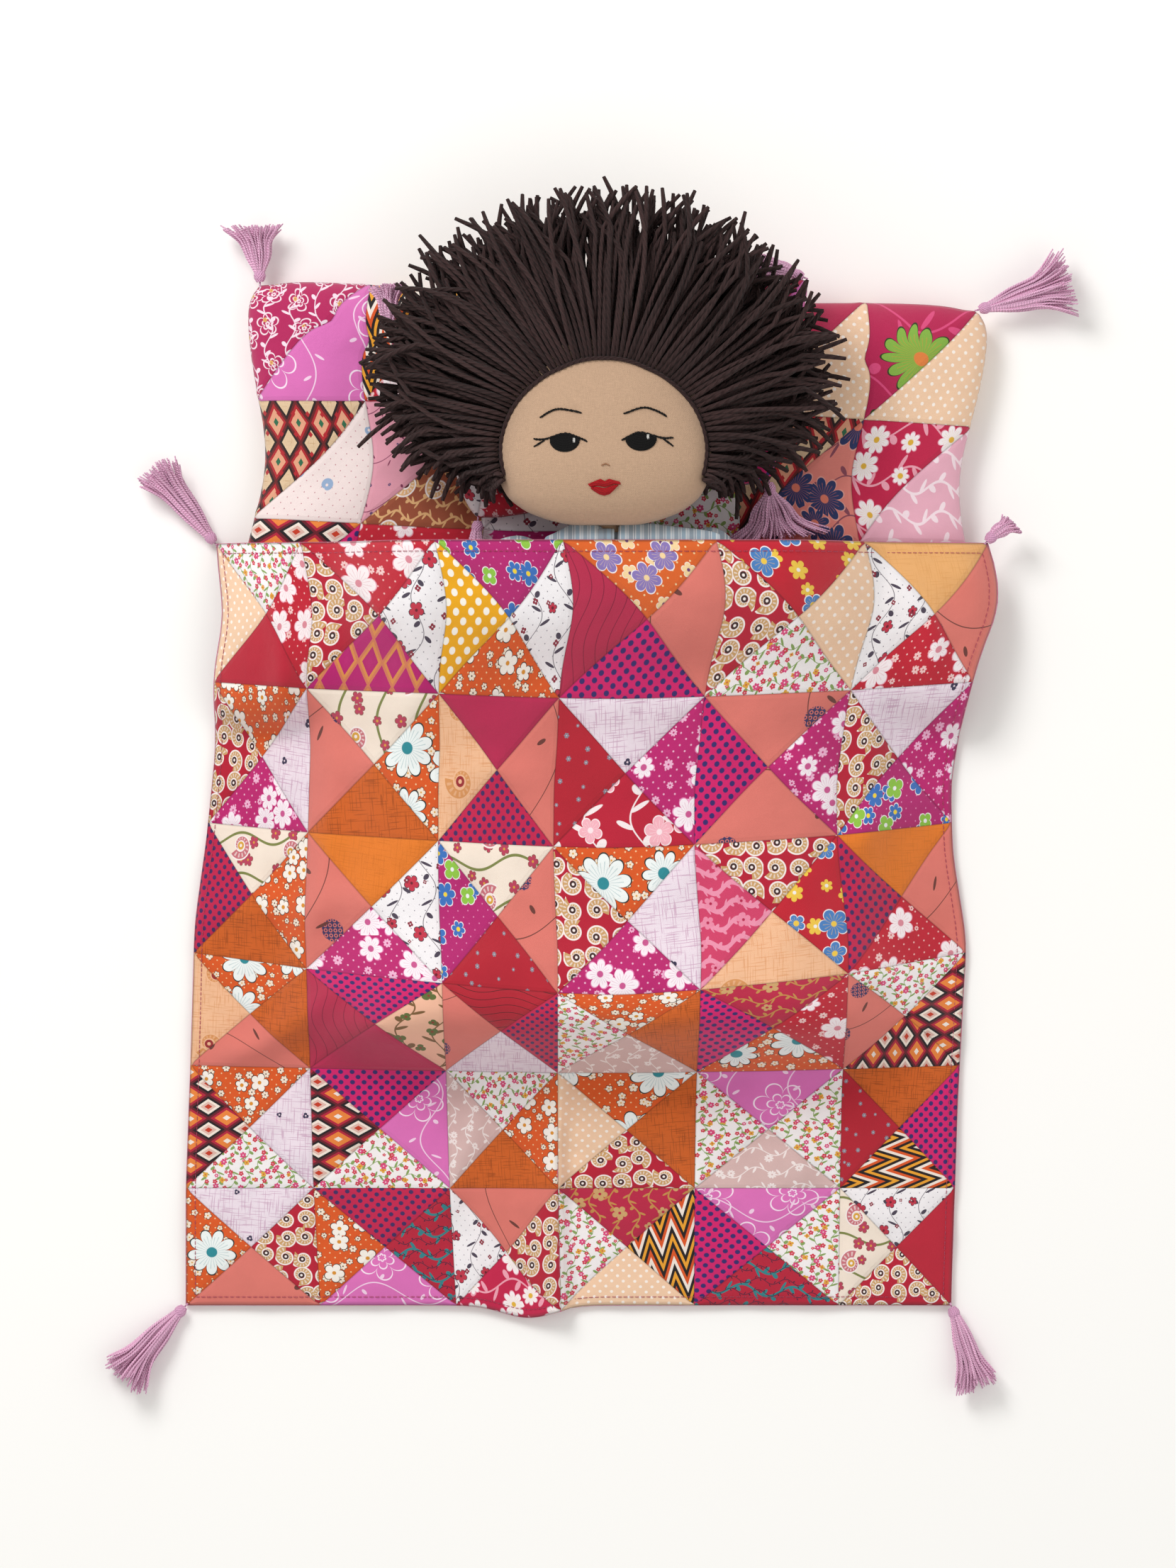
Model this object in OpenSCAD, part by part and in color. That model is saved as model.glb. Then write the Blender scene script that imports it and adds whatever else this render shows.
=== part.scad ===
// Rag doll tucked up in its patchwork bedding: a stuffed cloth doll with a yarn wig and striped
// pyjamas, lying on two pillows and under a patchwork quilt. All of it rests on one flat surface.
// +X is to the doll's left, +Y towards the crown of its head and +Z up. Millimetres.
// The origin is the middle of the whole set, on the surface that it lies on.

/* [Head] */
// Width of the stuffed head across the cheeks
head_w = 121; // [112:1:126]
// Length of the head from chin to crown
head_len = 122; // [114:1:128]
// Thickness of the stuffed head, face to back
head_t = 70; // [62:1:72]
// Radius of the ball-shaped neck that joins head and body
neck_r = 14; // [11:1:15]

/* [Hair] */
// How far the yarn reaches from the middle of the face
hair_reach = 145; // [130:1:155]
// Share of the head's width where the yarn is sewn on, at the temples
hairline_share = 0.93; // [0.88:0.01:0.96]

/* [Body] */
// Half width of the torso at the waist
torso_half_w = 35; // [30:1:36]
// Half of the torso's height above the surface, measured upright
torso_half_t = 24; // [20:1:25]
// Thickness of the cotton cloth of body and clothes
cloth_t = 1.5; // [1.2:0.1:1.8]

/* [Limbs] */
// Length of an arm from the shoulder's middle to the fingertips
arm_len = 112; // [95:1:116]
// Radius of an arm at the shoulder
arm_r = 13; // [11:0.5:13.5]
// Length of a leg from the hip's middle to the ankle
leg_len = 142; // [130:1:146]
// Radius of a leg at the hip
leg_r = 16; // [14:0.5:16.5]
// Height of an upturned foot, sole to toe
foot_len = 62; // [50:1:64]

/* [Big pillow] */
// Length across the corners, left to right
pillow_w = 408; // [400:1:416]
// Length across the corners, foot to head
pillow_d = 200; // [194:1:206]
// Height of the filled pillow under the doll's weight
pillow_t = 46; // [40:1:48]

/* [Small pillow] */
// Width at half its depth, left to right
small_w = 201; // [190:1:210]
// Length across the corners, foot to head
small_d = 111; // [104:1:118]
// Height of the filled pillow under the doll's head
small_t = 22; // [16:1:23]

/* [Quilt] */
// Length of the quilt as it lies, head edge to foot edge
quilt_d = 434; // [420:1:440]
// Thickness of the pieced top
quilt_top_t = 2.4; // [1.6:0.1:2.6]
// Thickness of the backing sheet
quilt_back_t = 1.4; // [1:0.1:1.6]

/* [Tassels] */
// Length of a tassel's skirt of threads
tassel_len = 46; // [38:1:50]
// Radius of a skirt at its cut end
tassel_r = 11; // [8:0.5:12]

/* [Hidden] */
$fn = 32;

gap = 0.4;            // clearance between cloth parts that only touch
set_shift = [0.4, 7, 0]; // brings the middle of the set to the origin

// Where the parts lie, before set_shift
head_x = 7;
chin_y = 144;
small_base = pillow_t + gap;
head_mid_z = small_base + small_t + 0.8 + head_t / 2;
body_x = 12;
neck_at = [9, 139, 86];
shoulder_y = 127;
shoulder_z = 75.5;
hip_at_y = 21;
arm_slope = 31;       // degrees that the arms run downhill
sleeve_r = arm_r + gap + cloth_t + 0.8;
trouser_r = leg_r + gap + cloth_t;
hip_x = trouser_r + 2.2;
shoulder_x = 54.2;

// ---- helpers -------------------------------------------------------------------------------

// Closed solid through rings of equal length; rings in the XZ plane run towards +Y, rings in
// the XY plane run towards -Z. The first few sides of each ring, as told, split the other way.
module skin(rings, flipped = 0) {
    n = len(rings[0]);
    m = len(rings);
    sides = [for (k = [0:m - 2]) for (i = [0:n - 1])
        let (a = k * n + i, b = k * n + (i + 1) % n)
        each i < flipped ? [[a, b, a + n], [b, b + n, a + n]] : [[a, b, b + n], [a, b + n, a + n]]];
    ends = [[for (i = [n - 1:-1:0]) i], [for (i = [0:n - 1]) (m - 1) * n + i]];
    polyhedron([for (r = rings) each r], concat(sides, ends));
}

function signed_pow(v, p) = sign(v) * pow(abs(v), p);

// Rounded-rectangle ring in the XZ plane: centre c, half width w, half height h, squareness p
function ring_xz(c, w, h, n = 28, p = 2.3) = [for (i = [0:n - 1]) let (a = 360 * i / n)
    [c[0] + w * signed_pow(cos(a), 2 / p), c[1], c[2] + h * signed_pow(sin(a), 2 / p)]];

// ---- pillows -------------------------------------------------------------------------------

pillow_at = [12, 176];
pillow_turn = -2.1;
small_at = [11, 214.5];
small_turn = 7.5;
small_taper = 0.175;  // how much wider the small pillow lies at its head edge than in the middle
pillow_ears = 0.07;   // share that the sides pull in between the corners
pillow_edge_t = 0.36; // height of the edge seam, as a share of the thickness
pillow_levels = [0.3, 0.62, 0.8, 0.9, 0.96, 0.985];

// 0 in the middle of a pillow and 1 on its seam, for a place in half widths and half depths
function pillow_norm(u, v) = let (r = norm([u, v])) r < 0.001 ? 0
    : let (corner = 2 * abs(u * v) / (r * r))
      pow((pow(abs(u), 16) + pow(abs(v), 16)) / 2, 1 / 16) * (1 + pillow_ears * (1 - pow(corner, 2)));
function pillow_upper(f, t) = t * (pillow_edge_t + (1 - pillow_edge_t) * pow(max(0, 1 - pow(f, 3.4)), 0.6));
function pillow_lower(f, t) = f < 0.7 ? 0 : t * pillow_edge_t * pow((f - 0.7) / 0.3, 2.4);
function pillow_ring(w, d, taper, f, z, n = 40) = [for (i = [0:n - 1])
    let (a = 360 * (i + 0.5) / n, s = f / pillow_norm(cos(a), sin(a)))
    [w / 2 * s * cos(a) * (1 + taper * s * sin(a)), d / 2 * s * sin(a), z]];

module pillow_solid(w, d, t, taper = 0) {
    skin(concat([for (f = pillow_levels) pillow_ring(w, d, taper, f, pillow_upper(f, t))],
                [pillow_ring(w, d, taper, 1, t * pillow_edge_t)],
                [for (k = [len(pillow_levels) - 1:-1:0]) let (f = pillow_levels[k])
                    pillow_ring(w, d, taper, f, pillow_lower(f, t))]));
}

module pillow_shell(w, d, t, taper = 0) {
    difference() {
        pillow_solid(w, d, t, taper);
        translate([0, 0, cloth_t]) pillow_solid(w - 8, d - 8, t - 2 * cloth_t, taper);
    }
}

module pillow_inside(w, d, t, taper = 0) {
    translate([0, 0, cloth_t + 0.2]) pillow_solid(w - 8.6, d - 8.6, t - 2 * cloth_t - 0.4, taper);
}

module at_big_pillow() {
    translate([pillow_at[0], pillow_at[1], 0]) rotate(pillow_turn) children();
}

module at_small_pillow() {
    translate([small_at[0], small_at[1], small_base]) rotate(small_turn) children();
}

// ---- tassels -------------------------------------------------------------------------------

binding_r = 3.4;
binding_len = 9;

module tassel_skirt(len = tassel_len, r = tassel_r) {
    rotate_extrude() polygon([[0, binding_len + gap], [binding_r, binding_len + gap],
        [r * 0.5, binding_len + min(9, len * 0.3)], [r * 0.72, binding_len + len * 0.5], [r, binding_len + len],
        [0, binding_len + len]]);
}

module tassel_binding() {
    rotate_extrude() polygon([[0, 0.6], [1.6, 0.6], [binding_r, 2.4], [binding_r + 0.4, 5],
        [binding_r, binding_len], [0, binding_len]]);
}

// A child that stands along +Z is laid from the place p in the compass direction turn, sloping by dip
module lay_along(p, turn, dip) {
    translate(p) rotate([0, 0, turn]) rotate([0, 90 + dip, 0]) children();
}

// Corners of the bedding, and the compass direction, dip, length and radius of the tassel on each
function turned(p, a) = [p[0] * cos(a) - p[1] * sin(a), p[0] * sin(a) + p[1] * cos(a)];
function pillow_corner(sx, sy) = let (p = turned([sx * pillow_w / 2, sy * pillow_d / 2], pillow_turn))
    [pillow_at[0] + p[0], pillow_at[1] + p[1], pillow_t * pillow_edge_t];
function small_corner(sx, sy) =
    let (p = turned([sx * small_w / 2 * (1 + small_taper * sy), sy * small_d / 2], small_turn))
    [small_at[0] + p[0], small_at[1] + p[1], small_base + small_t * pillow_edge_t];
module skirts(corners) {
    for (c = corners) lay_along(c[0], c[1], c[2]) tassel_skirt(c[3], c[4]);
}

module bindings(corners) {
    for (c = corners) lay_along(c[0], c[1], c[2]) tassel_binding();
}

// ---- quilt surface -------------------------------------------------------------------------

quilt_head_y = 136;
quilt_foot_y = quilt_head_y - quilt_d;
quilt_flat_z = quilt_top_t + quilt_back_t + 1.1;

// Height of the quilt's ridge over the doll, by distance towards the head
function ridge(y) = lookup(y, [[-400, 0], [-172, 0], [-160, 14], [-150, 42], [-140, 66], [-128, 74],
    [-110, 69], [-80, 56], [-20, 50], [20, 54], [45, 64], [64, 73], [80, 88], [95, 98], [110, 104],
    [125, 107.5], [136, 109]]);
// Side edges of the quilt as it lies
function left_edge(y) = lookup(y, [[-300, -231], [-230, -231], [-150, -228], [-80, -226], [-30, -219],
    [20, -214], [60, -215], [95, -209], [136, -214]]);
function right_edge(y) = lookup(y, [[-300, 205], [-180, 209], [-90, 214], [-40, 206], [0, 205],
    [40, 212], [70, 220], [100, 232], [125, 230], [136, 224]]);
function ease(t) = let (c = min(1, max(0, t))) c * c * (3 - 2 * c);
function soft_max(a, b, r = 6) = (a + b + sqrt((a - b) * (a - b) + r * r)) / 2;
function body_rise(x, y) = ridge(y) * (1 - ease((abs(x - 8) - 96) / 112));
function pillow_rise(x, y) =
    let (u = (x - pillow_at[0]) / (pillow_w / 2 + 22), v = (y - pillow_at[1] + 7) / (pillow_d / 2 + 34),
         f = min(1, pillow_norm(u, v)))
    (pillow_t + 6) * pow(max(0, 1 - pow(f, 5)), 0.55);
// The stitching pulls the quilt into shallow ripples
function ripple(x, y) = 0.8 * sin(x * 4.3) * cos(y * 3.7 + x);
function quilt_z(x, y) = quilt_flat_z - 3 + ripple(x, y) + soft_max(body_rise(x, y), pillow_rise(x, y));

function quilt_corner(x, y) = [x, y, max(4.9, quilt_z(x, y) - 2)];
quilt_corners = [[quilt_corner(-214, 136), 128, -8, tassel_len, tassel_r],
                 [quilt_corner(224, 136), 45, 0, tassel_len - 36, tassel_r - 4.5],
                 [quilt_corner(-231, quilt_foot_y), 226, -8, tassel_len, tassel_r],
                 [quilt_corner(205, quilt_foot_y), 291, -8, tassel_len - 6, tassel_r]];
pillow_corners = [[pillow_corner(-1, 1), 92, 0, tassel_len - 20, tassel_r],
                  [pillow_corner(1, 1), 12, 0, tassel_len, tassel_r + 2],
                  [pillow_corner(-1, -1), -28, 7, tassel_len - 6, tassel_r - 3],
                  [pillow_corner(1, -1), 208, 7, tassel_len - 6, tassel_r - 3]];
small_corners = [[small_corner(-1, 1), 97, 0, tassel_len - 28, tassel_r - 2],
                 [small_corner(1, 1), 160, 0, tassel_len - 28, tassel_r - 2],
                 [small_corner(1, -1), -82, 0, tassel_len - 22, tassel_r - 3],
                 [small_corner(-1, -1), 265, 0, tassel_len - 24, tassel_r - 3.5]];

quilt_cols = 22;
quilt_rows = 28;

// Cross-section of a quilt layer at y, between two depths under the upper surface
function quilt_ring(y, upper, lower) =
    let (x0 = left_edge(y), x1 = right_edge(y), step = (x1 - x0) / quilt_cols)
    concat([for (i = [quilt_cols:-1:0]) let (x = x0 + i * step) [x, y, quilt_z(x, y) - upper]],
           [for (i = [0:quilt_cols]) let (x = x0 + i * step) [x, y, quilt_z(x, y) - lower]]);

module quilt_layer(upper, lower) {
    skin([for (j = [0:quilt_rows]) quilt_ring(quilt_foot_y + quilt_d * j / quilt_rows, upper, lower)], quilt_cols);
}

// ---- head ----------------------------------------------------------------------------------

head_levels = [0, 0.02, 0.06, 0.12, 0.19, 0.28, 0.4, 0.52, 0.64, 0.75, 0.85, 0.93, 0.98, 1];
head_p = 2.3;
function head_half_w(s) = head_w / 2 * lookup(s, [[0, 0.3], [0.02, 0.5], [0.06, 0.72], [0.12, 0.88],
    [0.19, 0.96], [0.28, 1], [0.4, 0.99], [0.52, 0.94], [0.64, 0.86], [0.75, 0.75], [0.85, 0.6],
    [0.93, 0.43], [0.98, 0.25], [1, 0.12]]);
function head_half_t(s) = head_t / 2 * lookup(s, [[0, 0.24], [0.02, 0.42], [0.06, 0.64], [0.12, 0.82],
    [0.19, 0.93], [0.28, 1], [0.4, 1], [0.52, 0.99], [0.64, 0.95], [0.75, 0.87], [0.85, 0.73],
    [0.93, 0.53], [0.98, 0.3], [1, 0.12]]);

// Height of the face's front surface
function face_z(x, y) =
    let (s = (y - chin_y) / head_len, u = min(0.999, abs(x - head_x) / head_half_w(s)))
    head_mid_z + head_half_t(s) * pow(1 - pow(u, head_p), 1 / head_p);

module head_solid(inset) {
    skin([for (s = head_levels)
        ring_xz([head_x, chin_y + inset + (head_len - 2 * inset) * s, head_mid_z],
                max(2, head_half_w(s) - inset), max(1.5, head_half_t(s) - inset), 28, head_p)]);
}

module neck_room() {
    translate(neck_at) sphere(r = neck_r + gap);
}

// A flat piece of embroidery, cut to a 2D outline, stitched into the face at (x, y)
module stitched(x, y, high) {
    translate([x, y, face_z(x, y) - 0.9]) linear_extrude(0.9 + high) children();
}

eye_dx = 22.4;
eye_y = 190;
brow_y = 203;

// ---- hair ----------------------------------------------------------------------------------

fan_mid = [head_x, 190];
fan_half = 112;       // degrees either side of straight up
function yarn_reach(a) = hair_reach * lookup(abs(a), [[0, 0.99], [60, 1], [74, 0.95], [86, 0.82],
    [93, 0.74], [103, 0.58], [112, 0.5]]);
// Hairline radius: an arch over the face that closes in on the cheeks
function hairline(a) = lookup(abs(a), [[0, 47], [30, 48], [50, 51], [70, 55], [90, 58], [104, 59], [112, 59]])
    * hairline_share / 0.93;

function hair_ring(a) =
    let (h = hairline(a), reach = yarn_reach(a), d = reach - h,
         x = fan_mid[0] + h * sin(a), y = fan_mid[1] + h * cos(a),
         front = face_z(x, y) + 3.5, back = head_mid_z - head_t / 2)
    [for (p = [[h, back], [h, front], [h + 0.12 * d, front + 3], [h + 0.35 * d, front + 1],
               [h + 0.6 * d, front - 7], [h + 0.85 * d, front - 24], [reach, back + 18],
               [reach, back + 8], [h + 0.8 * d, back + 2], [h + 0.4 * d, back]])
        [fan_mid[0] + p[0] * sin(a), fan_mid[1] + p[0] * cos(a), p[1]]];

// ---- bedding nodes -------------------------------------------------------------------------

module pillow_cover() {
    color("hotpink") at_big_pillow() pillow_shell(pillow_w, pillow_d, pillow_t);
}

module pillow_filling() {
    color("white") at_big_pillow() pillow_inside(pillow_w, pillow_d, pillow_t);
}

module pillow_tassels() {
    color("plum") skirts(pillow_corners);
}

module pillow_tassel_bindings() {
    color("thistle") bindings(pillow_corners);
}

module small_pillow_cover() {
    color("lightcoral") at_small_pillow() pillow_shell(small_w, small_d, small_t, small_taper);
}

module small_pillow_filling() {
    color("white") at_small_pillow() pillow_inside(small_w, small_d, small_t, small_taper);
}

module small_pillow_tassels() {
    color("orchid") skirts(small_corners);
}

module small_pillow_tassel_bindings() {
    color("thistle") bindings(small_corners);
}

module quilt_top() {
    color("crimson") quilt_layer(0, quilt_top_t);
}

module quilt_backing() {
    color("pink") quilt_layer(quilt_top_t + 0.1, quilt_top_t + 0.1 + quilt_back_t);
}

module quilt_tassels() {
    color("plum") skirts(quilt_corners);
}

module quilt_tassel_bindings() {
    color("thistle") bindings(quilt_corners);
}

// ---- body nodes ----------------------------------------------------------------------------

// Stations of the torso: y, height of its middle, half width share, half height share
torso_stations = [[42.4, 27, 0.72, 0.62], [45, 27.5, 0.9, 0.84], [53, 29.5, 1, 0.96], [64, 37, 1, 1],
    [72, 44.5, 0.98, 1], [80, 52.5, 0.96, 1], [88, 60, 0.94, 1], [95, 64.5, 0.92, 1],
    [110, 69.6, 0.88, 0.98], [120, 70.8, 0.8, 0.92], [128, 70.8, 0.62, 0.78], [132, 71.2, 0.46, 0.62]];
shirt_out = gap + 2 * cloth_t + 0.4;
function shirt_front(y) = lookup(y, [for (s = torso_stations) [s[0], s[1] + torso_half_t * s[3] + shirt_out]]);

function torso_rings(stations, grow) = [for (s = stations)
    ring_xz([body_x, s[0], s[1]], torso_half_w * s[2] + grow, torso_half_t * s[3] + grow, 24, 2.4)];

module torso_tube(from_y, to_y, inner, outer) {
    band = [for (s = torso_stations) if (s[0] >= from_y && s[0] <= to_y) s];
    last = len(band) - 1;
    function moved(s, dy) = [s[0] + dy, s[1], s[2], s[3]];
    core = concat([moved(band[0], -3)], band, [moved(band[last], 3)]);
    difference() {
        skin(torso_rings(band, outer));
        skin(torso_rings(core, inner));
    }
}

module torso_cover() {
    color("tan") difference() {
        skin(torso_rings(torso_stations, 0));
        skin(torso_rings([for (s = torso_stations) if (s[0] > 44 && s[0] < 130) s], -cloth_t));
        neck_room();
    }
}

module torso_filling() {
    color("ivory") difference() {
        skin(torso_rings([for (s = torso_stations) if (s[0] > 44 && s[0] < 130)
            [s[0] < 46 ? s[0] + 0.2 : s[0] > 127 ? s[0] - 0.2 : s[0], s[1], s[2], s[3]]], -cloth_t - 0.25));
        translate(neck_at) sphere(r = neck_r + gap + 1);
    }
}

module pyjama_shirt() {
    color("lightsteelblue") difference() {
        torso_tube(52, 129, shirt_out - cloth_t, shirt_out);
        neck_room();
    }
}

module pyjama_seat() {
    color("lightsteelblue") torso_tube(44, 65, gap, gap + cloth_t);
}

// The collar's band: y, height of its middle, half width and half height outside
collar_stations = [[126, 70.8, 33, 26], [131, 74.6, 29.5, 25.8], [135, 80.5, 25, 22], [138.5, 84, 23, 19]];

module shirt_collar() {
    function ring(c, dy, grow) = ring_xz([body_x - 2, c[0] + dy, c[1]], c[2] + grow, c[3] + grow, 24, 2.2);
    last = len(collar_stations) - 1;
    color("aliceblue") difference() {
        skin([for (c = collar_stations) ring(c, 0, 0)]);
        skin(concat([ring(collar_stations[0], -3, -cloth_t)], [for (c = collar_stations) ring(c, 0, -cloth_t)],
                    [ring(collar_stations[last], 3, -cloth_t)]));
    }
}

module shirt_buttons() {
    color("dimgray") for (y = [68, 90, 112])
        translate([body_x, y, shirt_front(y) + 0.2])
            rotate([atan2(shirt_front(y + 4) - shirt_front(y - 4), 8), 0, 0])
                difference() {
                    cylinder(r = 4, h = 1.6);
                    for (dx = [-1.2, 1.2]) translate([dx, 0, -1]) cylinder(r = 0.6, h = 4);
                }
}

module neck() {
    color("tan") translate(neck_at) sphere(r = neck_r);
}

// ---- head nodes ----------------------------------------------------------------------------

module head_cover() {
    color("tan") difference() {
        head_solid(0);
        head_solid(cloth_t);
        neck_room();
    }
}

module head_filling() {
    color("ivory") difference() {
        head_solid(cloth_t + 0.25);
        translate(neck_at) sphere(r = neck_r + gap + 1.2);
    }
}

module eyebrows() {
    color("black") for (side = [-1, 1]) stitched(head_x + side * eye_dx, brow_y, 0.3)
        translate([0, -12]) difference() {
            circle(r = 16);
            circle(r = 14.8);
            translate([-20, -30]) square([40, 41.4]);
        }
}

module eyes() {
    color("black") for (side = [-1, 1]) stitched(head_x + side * eye_dx, eye_y, 0.4) intersection() {
        circle(r = 9.4);
        translate([0, 3]) circle(r = 8.9);
        translate([-12, -12]) square([24, 15.5]);
    }
}

module eye_lights() {
    color("white") for (side = [-1, 1]) translate([head_x + side * eye_dx + 3.6, eye_y + 1.2,
        face_z(head_x + side * eye_dx, eye_y) + 0.5]) cylinder(r = 1, h = 0.5);
}

module nose() {
    color("peru") stitched(head_x, 175.5, 0.2) for (side = [-1, 1]) translate([side * 1.2, 0]) circle(r = 0.8);
}

module lips() {
    color("firebrick") stitched(head_x, 165, 0.4) intersection() {
        circle(r = 8);
        translate([0, 4.5]) circle(r = 9);
        translate([0, -4.8]) circle(r = 9.4);
    }
}

module hair_yarn() {
    color("black") difference() {
        skin([for (i = [0:28]) hair_ring(fan_half - 2 * fan_half * i / 28)]);
        head_solid(-gap);
    }
}

module hair_weft() {
    color("black") for (i = [0:17]) let (a = -102 + 12 * i, h = hairline(a) - 2.2,
            x = fan_mid[0] + h * sin(a), y = fan_mid[1] + h * cos(a))
        translate([x, y, face_z(x, y) + 0.6]) rotate([0, 0, -a]) rotate([0, 90, 0])
            cylinder(r = 1.1, h = 2 * h * sin(5.6), center = true);
}

// ---- limb nodes ----------------------------------------------------------------------------

function arm_profile(grow, from) = [[0, -arm_r - grow], [(arm_r + grow) * 0.5, -(arm_r + grow) * 0.866],
    [(arm_r + grow) * 0.866, -(arm_r + grow) * 0.5], [arm_r + grow, 0], [arm_r + grow - 1, arm_len * 0.35],
    [arm_r + grow - 3, arm_len * 0.7], [arm_r + grow - 3.6, from]];

// Side is 1 for the doll's left arm, at +X
module at_shoulder(side) {
    translate([body_x + side * shoulder_x, shoulder_y, shoulder_z]) rotate([90 + arm_slope, 0, 0]) children();
}

module arm_shape(grow) {
    union() {
        sphere(r = arm_r + grow);
        cylinder(r1 = arm_r + grow, r2 = arm_r + grow - 3.4, h = arm_len - 22);
        translate([0, 0, arm_len - 22]) cylinder(r = arm_r + grow - 3.4, h = 12.5);
        translate([0, 0, arm_len - 10]) sphere(r = arm_r + grow - 3);
    }
}

module arm_cover() {
    color("tan") difference() {
        arm_shape(0);
        arm_shape(-cloth_t);
    }
}

module arm_filling() {
    color("ivory") arm_shape(-cloth_t - 0.25);
}

module sleeve() {
    inner = arm_r + gap;
    outer = sleeve_r;
    color("lightsteelblue") rotate_extrude($fn = 48) difference() {
        union() {
            circle(r = outer);
            polygon([[0, 0], [outer, 0], [outer - 1.6, arm_len - 30], [0, arm_len - 30]]);
        }
        union() {
            circle(r = inner);
            polygon([[0, 0], [inner, 0], [inner - 1.6, arm_len - 29], [0, arm_len - 29]]);
        }
        translate([-60, -60]) square([60, 240]);
    }
}

// Side is 1 for the doll's left leg, at +X
module at_hip(side) {
    translate([body_x + side * hip_x, hip_at_y, trouser_r + 0.5]) rotate([90, 0, 0]) children();
}

module leg_shape(grow) {
    foot_r = 12.5 + grow;
    toe_r = 9 + grow;
    union() {
        sphere(r = leg_r + grow);
        cylinder(r1 = leg_r + grow, r2 = foot_r - 0.5, h = leg_len);
        translate([0, 0, leg_len]) sphere(r = foot_r);
        translate([0, 0, leg_len]) rotate([-90, 0, 0]) cylinder(r1 = foot_r - 0.4, r2 = toe_r + 0.1, h = foot_len - 21.5);
        translate([0, foot_len - 21.5, leg_len]) sphere(r = toe_r);
    }
}

module leg_cover() {
    color("tan") difference() {
        leg_shape(0);
        leg_shape(-cloth_t);
    }
}

module leg_filling() {
    color("ivory") leg_shape(-cloth_t - 0.25);
}

module trouser_leg() {
    inner = leg_r + gap;
    outer = trouser_r;
    hem = leg_len - 26;
    color("lightsteelblue") rotate_extrude($fn = 48) difference() {
        union() {
            circle(r = outer);
            polygon([[0, 0], [outer, 0], [outer - 1.4, hem], [0, hem]]);
        }
        union() {
            circle(r = inner);
            polygon([[0, 0], [inner, 0], [inner - 1.4, hem + 1], [0, hem + 1]]);
        }
        translate([-60, -60]) square([60, 300]);
    }
}

module left_arm_cover() { at_shoulder(1) arm_cover(); }
module left_arm_filling() { at_shoulder(1) arm_filling(); }
module left_sleeve() { at_shoulder(1) sleeve(); }
module right_arm_cover() { at_shoulder(-1) arm_cover(); }
module right_arm_filling() { at_shoulder(-1) arm_filling(); }
module right_sleeve() { at_shoulder(-1) sleeve(); }
module left_leg_cover() { at_hip(1) leg_cover(); }
module left_leg_filling() { at_hip(1) leg_filling(); }
module left_trouser_leg() { at_hip(1) trouser_leg(); }
module right_leg_cover() { at_hip(-1) leg_cover(); }
module right_leg_filling() { at_hip(-1) leg_filling(); }
module right_trouser_leg() { at_hip(-1) trouser_leg(); }

// ---- the set -------------------------------------------------------------------------------

translate(set_shift) {
    pillow_cover();
    pillow_filling();
    pillow_tassels();
    pillow_tassel_bindings();
    small_pillow_cover();
    small_pillow_filling();
    small_pillow_tassels();
    small_pillow_tassel_bindings();
    torso_cover();
    torso_filling();
    pyjama_shirt();
    shirt_collar();
    shirt_buttons();
    pyjama_seat();
    neck();
    head_cover();
    head_filling();
    eyebrows();
    eyes();
    eye_lights();
    nose();
    lips();
    hair_yarn();
    hair_weft();
    left_arm_cover();
    left_arm_filling();
    left_sleeve();
    right_arm_cover();
    right_arm_filling();
    right_sleeve();
    left_leg_cover();
    left_leg_filling();
    left_trouser_leg();
    right_leg_cover();
    right_leg_filling();
    right_trouser_leg();
    quilt_top();
    quilt_backing();
    quilt_tassels();
    quilt_tassel_bindings();
}
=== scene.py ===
import math
import random
import bpy
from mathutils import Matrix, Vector, noise


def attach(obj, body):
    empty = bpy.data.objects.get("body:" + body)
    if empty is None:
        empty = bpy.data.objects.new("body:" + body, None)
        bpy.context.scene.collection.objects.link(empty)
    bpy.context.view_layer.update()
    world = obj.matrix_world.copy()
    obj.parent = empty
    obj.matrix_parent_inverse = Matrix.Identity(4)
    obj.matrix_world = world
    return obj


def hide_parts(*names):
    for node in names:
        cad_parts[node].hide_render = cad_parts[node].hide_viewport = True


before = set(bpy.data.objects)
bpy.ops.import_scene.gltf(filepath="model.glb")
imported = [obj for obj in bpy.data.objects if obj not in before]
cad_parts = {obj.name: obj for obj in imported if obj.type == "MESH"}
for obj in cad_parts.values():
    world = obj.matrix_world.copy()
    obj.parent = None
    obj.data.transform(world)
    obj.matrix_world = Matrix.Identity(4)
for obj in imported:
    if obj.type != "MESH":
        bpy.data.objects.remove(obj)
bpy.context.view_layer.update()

setShift = (0.4, 7.0)  # mm, from the set's own places to the frame's origin


def at(x, y, z=0.0):
    # a place in the set's millimetres, as a point in the frame
    return Vector(((x + setShift[0]) / 1000, (y + setShift[1]) / 1000, z / 1000))


def lookup(value, table):
    # a straight line between the neighbouring rows of a table of (value, result)
    if value <= table[0][0]:
        return table[0][1]
    for (x0, y0), (x1, y1) in zip(table, table[1:]):
        if value <= x1:
            return y0 + (y1 - y0) * (value - x0) / (x1 - x0)
    return table[-1][1]


def ease(t):
    t = min(1.0, max(0.0, t))
    return t * t * (3 - 2 * t)


def lerp(a, b, t):
    return a + (b - a) * t


def bumpy(x, y, z, size):
    return noise.noise(Vector((x / size, y / size, z / size)))


# camera, light and floor

studio = {"height": 6.0, "lens": 241.7, "centre": (-0.0014, 0.0061), "floor": "#fffefb", "sky": 0.63}
lamps = [("key", (-0.9, 1.3, 1.7), 0.9, 27), ("fill", (1.3, -0.4, 1.8), 1.8, 6)]  # place, width and power


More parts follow.
